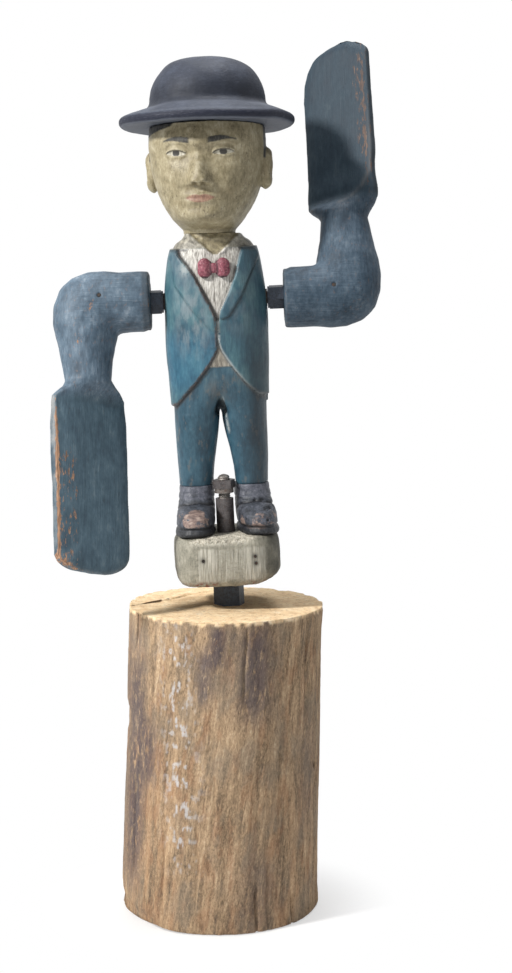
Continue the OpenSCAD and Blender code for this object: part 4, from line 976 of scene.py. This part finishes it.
def build_coat():
    piece = refined(new_object("coat", [torso_solid(), leg_solid(-1), leg_solid(1), tail_solid()], IN_BODY),
                    VOXEL["coat"])
    c = Carving(piece, IN_BODY)
    c.smooth(3)
    u, y, v = c.p.T
    front, shirt, hem, into, from_left, from_right = coat_masks(c.p, 0.7, 0.6)
    hem = np.where((v < HEM_V) & (y > 3) & (c.normals()[:, 1] < 0.1) & (abs(u) < 25), 0, hem)
    coat = hem * (1 - shirt) * ease((YOKE_V - v) / 0.6 + 0.5)
    h = COAT_T * coat
    # The left front lies over the right one
    h += 0.6 * (band(v, 89, 109, 2) * front * ease((0.4 - u) / 0.5)) * bell(u + 1, 4)
    # Lapels roll up from the V and end in a low step
    left, right = lapel_edges(c.p)
    on_left = front * ease(left / 1.6 + 0.4) * ease(-from_left / 0.5 + 0.5) * ease((v - 98) / 3)
    on_right = front * ease(right / 1.2 + 0.4) * ease(-from_right / 0.5 + 0.5) * ease((v - 106.5) / 1.5)
    h += 1.3 * LAPEL_T * (on_left + on_right) * ease((YOKE_V - 1 - v) / 3)
    h -= front * (0.18 * bell(left + 1.2, 1.0) * band(v, 101, 149, 5)
                  + 0.45 * bell(right + 1.1, 0.9) * band(v, LAPEL_FOOT_V, LAPEL_END_V, 3))
    # Waistcoat below the fronts, flat at its foot
    h += 0.6 * (front * (1 - hem) * ease((v - VEST_V) / 0.6))
    # The neck in the collar, whose points stand up beside it
    neck = neck_edge(c.p)
    in_neck = front * ease(neck / 0.8 + 0.5) * ease(v - NECK_V)
    h += front * 1.1 * bell(neck + 1.6, 1.3) * ease((v - NECK_V) / 2) - 0.5 * in_neck
    # Notch over the crotch, and hewn planes everywhere
    below = np.maximum(0, CROTCH_V - v)
    notch = ease((CROTCH_V + 1 - v) / 9) * bell(u - 0.5, 0.8 + 0.14 * below) * ease((v - 44) / 4)
    h -= 3.4 * notch * ease((-y - 3) / 4)
    h += (0.4 * noise(c.p, (11, 11, 22), 63, 2) + 0.16 * noise(c.p, (3, 3, 9), 64, 2)
          + 0.07 * noise(c.p, (0.9, 0.9, 10), 65) + 0.15)
    # Pleats of the shirt
    h += 0.25 * shirt * (1 - in_neck) * noise(c.p, (1.2, 9, 14), 66, 2)
    c.push(h * ease(v / 1.5))
    c.smooth(1, 0.35)
    c.store()
    # Bores of the shoulder tube and the foot screws, the vent of the tails, and the socket of the neck
    screws = [bar((u, 0, -5), (0, 0, 49), SCREW_R) for u in (-LEG_U, LEG_U)]
    drill(piece, [bar((-60, 0, AXLE_V), (120, 0, 0), TUBE_R), *screws, vent_solid()], IN_BODY)
    drill(piece, [bar((0, 0, -9.1), (0, 0, 30), SOCKET_R), bar((0, 0, -0.1), (0, 0, 20), 40)], IN_HEAD)
    c = Carving(piece, IN_BODY)
    u, y, v = c.p.T
    front, shirt, hem, into, from_left, from_right = coat_masks(c.p, 0.5, 0.4)
    right = lapel_edges(c.p)[1]
    edge = c.curvature(8)
    yoke = ease((v - YOKE_V) / 0.5 + 0.5)
    c.paint(shirt=shirt * (1 - yoke) * ease(v - SHIRT_V - 0.5), yoke=yoke)
    c.paint(skin=front * ease(neck_edge(c.p) / 0.5 + 0.5) * ease(v - NECK_V))
    c.paint(legs=(1 - hem) * ease((VEST_V - v) / 0.5 + 0.5) + (y > 0) * (1 - hem))
    c.paint(tan=front * (1 - hem) * ease((v - VEST_V) / 0.5 + 0.5) * ease((91 - v) / 2))
    # Brown edges at the left; painted highlights along the right front's hem, on the left lapel and on the notch's
    # right rim, and a whitish line beside the overlap of the fronts
    vee = np.minimum(abs(from_left) + 9 * (abs(from_left) > abs(from_right)), 9)
    brown = front * (bell(into, 0.8) * (v < 90) * (u < 0.5) + bell(vee, 0.7) * (v > SHIRT_V) * (v < YOKE_V)
                     + bell(u + 0.2, 0.7) * band(v, 88, 108, 1))
    wear = hem * ease(edge * 3 - 0.45) * ease(noise(c.p, (6, 6, 9), 67, 2) * 2 + 0.2) * (1 - shirt) * (1 - yoke)
    c.paint(worn=brown + 0.7 * wear)
    below = np.maximum(0, CROTCH_V - v)
    rim = bell(u - 1.6 - 0.14 * below, 0.6) * band(v, 34, 57, 4)
    c.paint(pale=front * (bell(into + 0.2, 0.7) * (v < 95) * (u > 0.5)
                          + 0.9 * bell(u - 1.3, 0.55) * band(v, 89, 108, 2)
                          + 0.8 * bell(np.hypot(u + 18.5, (v - 139) * 0.7), 2.2)) + 0.8 * rim * (y < -3))
    # Rubbed paint, and a painted highlight high on the left lapel
    rub = (band(u, -24, -6, 14) * band(v, 88, 128, 26) + 0.5 * bell(v - 148, 4) * (u < 0)
           + 0.35 * band(u, 6, 22, 10) * band(v, 98, 135, 20) + 0.8 * bell(np.hypot(u + 19.5, v - 138.5), 3.2)
           + 0.6 * bell(np.hypot(u + 1, v - 62), 6) * (1 - hem))
    c.paint(rub=rub * front)
    c.paint(deep=front * band(v, 62, 98, 16) * (u < 0) * hem)
    # Painted shade: under the right lapel's edge, under the collar's edge at the sides, under the hem, in the notch
    # over the crotch, over the right side as if turned from the light, and in hollows
    painted_hem_shadow = bell(into + 0.9, 0.6) * (v < 88)
    dark = front * (0.35 * bell(right + 1.1, 0.9) * band(v, LAPEL_FOOT_V, LAPEL_END_V, 3)
                    + 0.8 * bell(YOKE_V - 0.8 - v, 0.6) * (abs(u) > 16) + (0.8 * (u < 0) + 0.45 * (u > 0)) * painted_hem_shadow)
    gap = ease((CROTCH_V + 1 - v) / 10) * bell(u + 1.2, 0.7 + 0.1 * below) * ease((v - 42) / 4) * ease((-y - 2) / 3)
    painted_shade_right = 0.72 * (1 - yoke) * ease((u - 10) / 14) * (0.5 + 0.5 * ease((104 - v) / 30)) * ease((20 - y) / 20)
    c.paint(dirt=dark + painted_shade_right + gap + ease(-edge * 2.2 - 0.15) * 0.7)
    c.done("figure", "coat_and_legs", coat_paint())


def build_tie():
    t, a = grid(np.linspace(-1, 1, 121), 6)
    out = abs(t)
    tall = curve([[0, 0.5], [0.12, 0.48], [0.22, 0.62], [0.4, 0.95], [0.6, 1], [0.85, 0.86], [1, 0.5]], out)
    thick = curve([[0, 0.9], [0.12, 0.8], [0.22, 0.66], [0.55, 1], [0.85, 0.84], [1, 0.5]], out)
    high, deep = TIE_H / 2 * tall, TIE_T / 2 * thick
    ring = np.stack([t * TIE_W / 2, -deep + deep * power(np.cos(a), 0.8), -high * power(np.sin(a), 0.8)], 2)
    matrix = IN_BODY @ moved(0, -body_deep(TIE_V) - 0.15, TIE_V - 0.4)
    c = Carving(new_object("tie", [loft(ring)], matrix), matrix)
    x, _, z = c.p.T
    h = 0.3 * noise(c.p, (3, 3, 3), 71, 2) - 0.25
    h -= 0.5 * bell(abs(x) - 2.2, 0.5) + 0.25 * bell(z + 0.15 * abs(x), 0.6) * ease((abs(x) - 2.5) / 2)
    c.push(h)
    c.paint(worn=ease(c.curvature(4) * 4 - 0.2) * 0.7)
    # Painted shade beside the knot and along the lower edge of the lobes
    c.paint(dirt=np.maximum(0.9 * bell(abs(x) - 2.2, 0.6), ease((-z - 4.2) / 1.6)))
    c.done("figure", "bow_tie", tie_paint())


# Head

SKULL_H = HEAD_H / 0.72
EYE_H, BROW_H, NOSE_H, MOUTH_H = SKULL_H * 0.5, SKULL_H * 0.56, SKULL_H * 0.29, SKULL_H * 0.19
EYE_U, EYE_W, LIP_W = HEAD_W * 0.2, 6.6, 9.6  # place of the eyes, half widths of eye and lips
EAR_V, EAR_TALL = NECK_L + (BROW_H + NOSE_H) / 2, BROW_H - NOSE_H


def head_outline(h):
    s = SKULL_H
    half = HEAD_W / 2 * curve([[-NECK_L, 0.42], [0, 0.46], [0.08 * s, 0.63], [0.2 * s, 0.8], [0.34 * s, 0.92],
                               [0.5 * s, 0.99], [0.62 * s, 1], [HEAD_H, 0.985]], h)
    front = HEAD_DEPTH / 2 * curve([[-NECK_L, 0.4], [-1, 0.44], [0.03 * s, 0.8], [0.1 * s, 0.92], [0.2 * s, 0.93],
                                    [0.34 * s, 0.94], [0.5 * s, 0.95], [0.6 * s, 0.99], [HEAD_H, 0.94]], h)
    rear = HEAD_DEPTH / 2 * curve([[-NECK_L, 0.42], [0, 0.44], [0.12 * s, 0.5], [0.25 * s, 0.72],
                                   [0.45 * s, 0.97], [0.6 * s, 1], [HEAD_H, 0.95]], h)
    return half, front, rear


def face(u, h):
    """Relief of the face, as in the part's source, with finer eyes, nostrils and lips."""
    down = (BROW_H - h) / (BROW_H - NOSE_H)
    tip = ease(down * 1.1) * (1 - ease((NOSE_H - h) / 2.4))
    nose = 7 * tip * bell(u, mix(2.6, 4.4, ease(down))) * (h < BROW_H)
    nose = nose + 1.9 * bell(abs(u) - 4.3, 1.7) * bell(h - NOSE_H - 1.5, 2)
    brow = 1.6 * bell(h - BROW_H, 2.6) * bell(u, 17)
    sockets = -3 * bell(abs(u) - EYE_U * 0.9, 6) * bell(h - EYE_H - 0.5, 4)
    eyes = 1.9 * bell(abs(u) - EYE_U, 3.8) * bell(h - EYE_H, 2.3)
    lips = (1.5 * bell(u, 6.6) * (bell(h - MOUTH_H - 1.7, 1.3) + bell(h - MOUTH_H + 2, 1.5))
            - 0.6 * bell(u, 9) * bell(h - MOUTH_H, 0.8))
    dip = -0.9 * bell(u, 8) * bell(h - MOUTH_H + 6, 2)
    chin = 1.7 * bell(u, 8) * bell(h - SKULL_H * 0.06, 4)
    cheeks = 0.9 * bell(abs(u) - HEAD_W * 0.27, 6) * bell(h - NOSE_H - 4, 7)
    return nose + brow + sockets + eyes + lips + dip + chin + cheeks


def eye_shape(u, h):
    """Distance above the lower lid, below the upper lid, and inside the corners."""
    across = np.clip((abs(u) - EYE_U) / EYE_W, -1, 1)
    arch = (1 - across ** 2) ** 0.8
    tilt = 0.4 * across
    return h - (EYE_H + tilt - 1.4 * arch), (EYE_H + tilt + 2.0 * arch) - h, arch


def head_solid():
    h, a = grid(np.append([-NECK_L], np.arange(-1, HEAD_H, 0.4)), 0.8)
    half, front, rear = head_outline(h)
    u = half * power(np.sin(a), 0.92)
    ahead = np.cos(a) > 0
    relief = np.where(ahead, face(u, h) * ease(np.cos(a) * 2), 0)
    y = -np.where(ahead, front, rear) * power(np.cos(a), 0.92) - relief
    return loft(np.stack([u, y, NECK_L + h], 2))


def ear_solid(side):
    t, a = grid(np.linspace(-1, 1, 60), 5)
    around = np.maximum(0.02, 1 - abs(t) ** 2.4) ** 0.5
    x = side * (1 + 0.6 * t) + 4.6 * around * np.cos(a)
    y = 7.6 * around * (1 + 0.2 * t) * np.sin(a)
    points, faces = loft(np.stack([x, y, t * (EAR_TALL * 1.12) / 2], 2))
    place = moved(side * (HEAD_W / 2 - 1.6), 5, EAR_V) @ turned(-8, "X")
    return apply(place, points), faces


def build_head():
    piece = refined(new_object("carved_head", [
        head_solid(), ear_solid(-1), ear_solid(1), bar((0, 0, -9), (0, 0, 9.5), 13)], IN_HEAD), VOXEL["head"])
    drill(piece, [bar((0, 0, NECK_L + HEAD_H - 13.1), (0, 0, 20), 5.1)], IN_HEAD)
    c = Carving(piece, IN_HEAD)
    c.smooth(2)
    x, y, z = c.p.T
    h = z - NECK_L
    ahead = ease((-y - 8) / 6)
    lower, upper, arch = eye_shape(x, h)
    eye = ahead * ease((lower + 0.2) / 0.5) * ease((upper + 0.2) / 0.5) * (arch > 0.02)
    lids = ahead * (0.75 * bell(upper + 0.7, 0.6) + 0.45 * bell(lower + 0.7, 0.6)) * (arch > 0.05)
    fold = ahead * 0.4 * bell(upper + 3.1, 0.5) * (arch > 0.1)
    nostril = ahead * bell(abs(x) - 2.6, 1.2) * bell(h - NOSE_H + 1.3, 0.8)
    cupid = ahead * bell(x, 1.2) * bell(h - MOUTH_H - 4, 1.6)
    rise = lids - fold - 0.3 * eye - 1.1 * nostril - 0.4 * cupid
    # Rims and hollows of the ears
    ear_z = z - EAR_V
    ring = np.hypot((y - 5 - 0.14 * ear_z) / 6.6, ear_z / (EAR_TALL * 0.5))
    on_ear = ease(abs(x) - HEAD_W / 2 + 0.2)
    rise = rise + on_ear * (-1.3 * bell(ring - 0.35, 0.22) * (ear_z > -6) + 0.4 * bell(ring - 0.85, 0.1))
    # Chisel marks, and a swell at the foot of the neck
    shell = ease((h + 2) / 1.5) * ease((HEAD_H - h + 0.5) / 2)
    cuts = 0.3 * noise(c.p, (8, 8, 8), 81, 2) + 0.14 * noise(c.p, (2.5, 2.5, 2.5), 82, 2) - 0.15
    foot = 0.5 * bell(z - 0.5, 0.8) * ease((np.hypot(x, y) - 13.6) / 0.6)
    c.push((rise + cuts * (1 - 0.8 * eye)) * shell + foot)
    c.smooth(1, 0.3)
    x, y, z = c.p.T
    edge = c.curvature(8)
    lower, upper, arch = eye_shape(x, h)
    opened = ahead * ease(lower / 0.3) * ease(upper / 0.3) * (arch > 0.02)
    c.paint(white=opened)
    iris = opened * ease((2.5 - np.hypot(abs(x) - EYE_U, h - EYE_H - 0.5)) / 0.4)
    line = ahead * bell(upper + 0.1, 0.4) * (arch > 0.02)
    raised = BROW_H + 1.4 + 2.2 * bell(abs(x) - EYE_U - 1.5, 6.5)
    thick = mix(2.1, 0.8, ease((abs(x) - 10) / 13)) + 0.2 * noise(c.p, (1.2, 3, 3), 84)
    brows = ahead * ease((thick - abs(h - raised)) / 0.6) * band(abs(x), 6, 23, 2)
    c.paint(iris=np.maximum(iris, 0.85 * line))
    full = np.maximum(0, 1 - (x / LIP_W) ** 2)
    lip_top = MOUTH_H + 2.6 * full ** 0.8 - 0.8 * bell(x, 1.4)
    c.paint(lips=ahead * ease((lip_top - h) / 0.6) * ease((h - MOUTH_H + 3.4 * full) / 0.6) * (full > 0) * 0.75)
    nape = ease((y - 12) / 1.2) * ease((h - NOSE_H + 3) / 2) * (1 - on_ear)
    edge_y = 7 + 0.5 * noise(c.p, (2, 2, 5), 83) + 26 * ease((h - HEAD_H + 9) / 7) * (x < 0)
    temple = ease(y + edge_y) * ease((h - EYE_H + 2) / 2) * (1 - on_ear)
    c.paint(hair=np.maximum(np.maximum(nape, temple), brows * 0.95))
    # Painted shade in hollows, less of it round the upper lip, and in the nostrils, and the dark line of the mouth
    clean = 1 - 0.9 * ahead * bell(np.hypot(x / 1.6, h - (NOSE_H + MOUTH_H) / 2), 5.5)
    c.paint(dirt=ease(-edge * 2.2 - 0.15) * mix(0.8, 0.5, ahead) * clean * ease((h - 2) / 3) + 0.75 * nostril
            + 0.8 * ahead * bell(h - MOUTH_H - 0.1, 0.4) * bell(x, 7))
    c.paint(worn=ease(edge * 2.4 - 0.15) * 0.8)
    c.done("figure", "head", skin_paint())


def build_hat():
    c = Carving(refined(copy_of("bowler_hat", "hat"), VOXEL["hat"]), IN_HEAD @ moved(0, 0, NECK_L + HEAD_H))
    c.smooth(6)
    x, y, z = c.p.T
    r = np.hypot(x, y)
    keep = ease((r - 8) / 3) + ease((z - 16) / 2)
    h = 0.45 * noise(c.p, (22, 22, 14), 91, 2) + 0.12 * noise(c.p, (5, 5, 5), 92, 2) - 0.2
    c.push(h * np.clip(keep, 0, 1) - 1.1 * ease((-x - 18) / 12) * band(z, 10, 40, 8))
    p = c.p
    p[:, 2] -= 1.8 * ease((-y - 20) / 30) * ease((r - 42) / 12)
    c.p = p
    x, y, z = c.p.T
    n = c.normals()
    out = np.hypot(x / abs(x).max(), y / abs(y).max())
    # Painted light: lighter under the brim as if lit from below, and a painted sheen on the brim's top
    c.paint(under=ease((-n[:, 2] + 0.1) / 0.4) * ease((r - 25) / 8)
            + 0.5 * ease((n[:, 2] - 0.8) / 0.15) * ease((out - 0.72) / 0.08) * (z < 12))
    c.paint(edge=ease((out - 0.86) / 0.05) * ease((0.8 - n[:, 2]) / 0.3) * ease((n[:, 2] + 0.85) / 0.3))
    rim = ease((out - 0.93) / 0.05)
    c.paint(worn=rim * (0.5 + 0.5 * ease(noise(c.p, (16, 16, 9), 93, 2) * 2)))
    # Painted shade where the crown meets the brim
    c.paint(dirt=bell(r - CROWN_D / 2 - 1, 2.5) * ease((z - 6) / 4) * 0.5)
    c.done("figure", "bowler_hat", hat_paint())


# Arms

NUT_U = CHEST_W / 2 + 0.4 + 0.3 + 1.2
NUT_H, PADDLE_W = {-1: 6.6, 1: 8.8}, {-1: 54, 1: 52}  # by side
ARM_PAINTED_SHADE = {-1: (0, 0), 1: (0.44, 0.73)}  # painted shade of the arm and of its blade
RIDGE_LINE = [(24, -130), (24.5, -90), (23.5, -79), (18, -69), (10, -63), (2, -60)]  # a ridge on the right blade, with a painted highlight along it
ELBOW_REACH, PADDLE_IN, NAIL_IN, BORE_L = 62.6, 20.8, 32, 46


def build_arm(side):
    node = "left_arm" if side < 0 else "right_arm"
    c = Carving(refined(copy_of(node, "carved_" + node), VOXEL["arm"]),
                ON_AXLE @ turned(180 if side > 0 else 0, "Y"))
    c.smooth(6)
    x, y, z = c.p.T
    hub = NUT_U + NUT_H[side]
    elbow = hub + ELBOW_REACH
    bore = ease((np.hypot(y, z) - 6) / 3) + ease((-x - hub - BORE_L) / 2)
    bore = np.clip(bore, 0, 1) * ease((np.hypot(x + hub + NAIL_IN, z) - 2) / 2 + (y > 0))
    upper = ease((z + 26) / 12) * ease((x + elbow - 6) / 10)
    pitch = radians(PADDLE_PITCH)
    across = -((x + elbow - PADDLE_IN) * np.cos(pitch) + y * np.sin(pitch))
    s = across / (PADDLE_W[side] / 2)
    blade = ease((-z - 58) / 8)
    down = noise(c.p, (1.6, 1.6, 30), 101 + side, 2)
    along = noise(c.p, (30, 1.6, 1.6), 103 + side, 2)
    h = 0.5 * noise(c.p, (13, 13, 18), 105 + side, 2) + 0.16 * mix(down, along, upper)
    h = h * mix(1, 0.5, blade) - 0.1
    # Fuller corners inside and outside the elbow
    h += 1.2 * band(z, -34, -12, 8) * ease((x + elbow - 32) / 8) * ease((-x - hub - 2) / 4)
    h += 1.0 * bell(np.hypot(x + elbow - 9, z - 10), 9)
    inward = c.normals()[:, 0]
    inner, outer = ease((0.2 + inward) / 0.6), ease((0.2 - inward) / 0.6)
    wrist = band(z, -76, -18, 12)
    if side < 0:
        h += wrist * (0.5 * inner - 0.8 * outer) - 1.7 * bell(z + 65, 7) * inner - 0.5 * blade * outer
        h += (1.3 * ease((s - 0.2) / 0.5) * ease((-z - ARM_R + 16) / 10)
              + 0.9 * ease((s - 0.8) / 0.15) * band(z, -116, -64, 16))
    else:
        h += wrist * (0.7 * inner + 0.2 * outer) - 1.1 * bell(z + 80, 7) * outer - 0.7 * blade * inner
        h -= 1.9 * ease((-z - ARM_R + 9) / 8) + 2.6 * ease((s - 0.35) / 0.5) * ease((-z - ARM_R + 15) / 10)
        h += 0.4 * bell(away_from(RIDGE_LINE, s * PADDLE_W[1] / 2, z), 1.6) * (y < 0)
    # Sawn face round the axle, and checks in the end grain
    h -= 0.3 * ease(x + hub + 1.2) * (1 + noise(c.p, (4, 2, 9), 107, 2))
    h -= 1.5 * (np.maximum(0, c.curvature(10) - 0.3) * np.maximum(0, noise(c.p, (5, 5, 9), 109 + side, 2) + 0.2))
    c.push(h * bore)
    c.smooth(1, 0.3)
    x, y, z = c.p.T
    edge = c.curvature(9)
    c.paint(upper=upper, blade=blade)
    if side < 0:
        bare = blade * (0.75 * bell(s - 0.905, 0.028) * band(z, -172, -80, 24)
                        + 0.32 * band(s, 0.42, 0.88, 0.15) * band(z, -172, -96, 20))
        bare += 0.12 * blade * ease((-z - ARM_R + 12) / 8) * ease(s + 0.3)
        bare += (0.5 * bell(np.hypot((x + hub + 37) * 1.6, z + 6), 3)
                 + 0.4 * bell(np.hypot((x + hub + 46) * 1.6, z + 28), 4))
    else:
        bare = blade * (0.4 * bell(s - 0.85, 0.05) + 0.31 * band(s, 0.56, 0.85, 0.15) * band(z, -164, -84, 20))
    c.paint(bare=bare + 0.45 * ease(edge * 2.4 - 0.3))
    strip = blade * ease((s - 0.93) / 0.04)
    if side < 0:
        grey = 0.9 * strip * mix(0.4, 1, ease((z + 150) / 50))
    else:
        # A painted highlight along the blade's ridge
        grey = 0.75 * bell(away_from(RIDGE_LINE, s * PADDLE_W[1] / 2, z), 1.1) * ease((z + 128) / 30)
    c.paint(grey=grey + 0.3 * ease(edge * 2.4 - 0.2))
    # Painted shade in hollows, on the left arm's inner end and on the right blade's outer strip
    painted_end_and_strip_shade = ease((x + hub + 6) / 2) * (side < 0) + 0.8 * strip * (side > 0)
    c.paint(dirt=ease(-edge * 2.5 - 0.2) * 0.7 + 0.65 * painted_end_and_strip_shade)
    c.done("arms", node, arm_paint(node + "_paint", (-ARM_REST, 0, 0), ARM_PAINTED_SHADE[side]))


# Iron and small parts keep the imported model's shape, with softened edges

def dress(node, material, bevel):
    """Gives a node a material and edges softened over a bevel's width in mm."""
    part = NODES[node]
    part.data.materials.clear()
    part.data.materials.append(material)
    if bevel:
        set_up(part.modifiers.new("bevel", "BEVEL"), width=bevel * 0.001, segments=2, limit_method="ANGLE",
               angle_limit=radians(35))


LOOKS = {
    "shoe": shoe_paint(),
    "black": iron("black_iron", "#161b23", "#3c4552", "#46403f", 0.15, 0.36, 0.3),
    "grey": iron("grey_iron", "#403c3e", "#75706f", "#5a453b", 0.4, 0.42, 0.5),
    "worn": iron("worn_iron", "#48413f", "#8a837d", "#64493a", 0.5, 0.4, 0.5),
    "nail": iron("nail_iron", "#1d1a18", "#3f3833", "#5e3a28", 0.5, 0.5, 0.4),
}
set_stage()
build_log()
build_rod()
build_block()
for side in (-1, 1):
    build_shoe(side)
build_coat()
build_tie()
build_head()
build_hat()
for side in (-1, 1):
    build_arm(side)
for look, bevels in (
        ("black", {"rod_collar": 0.6, "thrust_washer": 0.25, "arm_axle": 0.3, "left_arm_washer": 0.2,
                   "right_arm_washer": 0.2, "left_arm_nut": 0.7, "right_arm_nut": 0.7}),
        ("grey", {"retaining_nut": 0.6, "pivot_sleeve": 0.5}), ("worn", {"retaining_washer": 0.5}),
        ("nail", {"block_nails": 0.2, "foot_screws": 0, "shoulder_tube": 0.2, "left_arm_nail": 0.3,
                  "right_arm_nail": 0.3})):
    for node, bevel in bevels.items():
        dress(node, LOOKS[look], bevel)
dress("hat_dowel", dowel_wood(), 0)
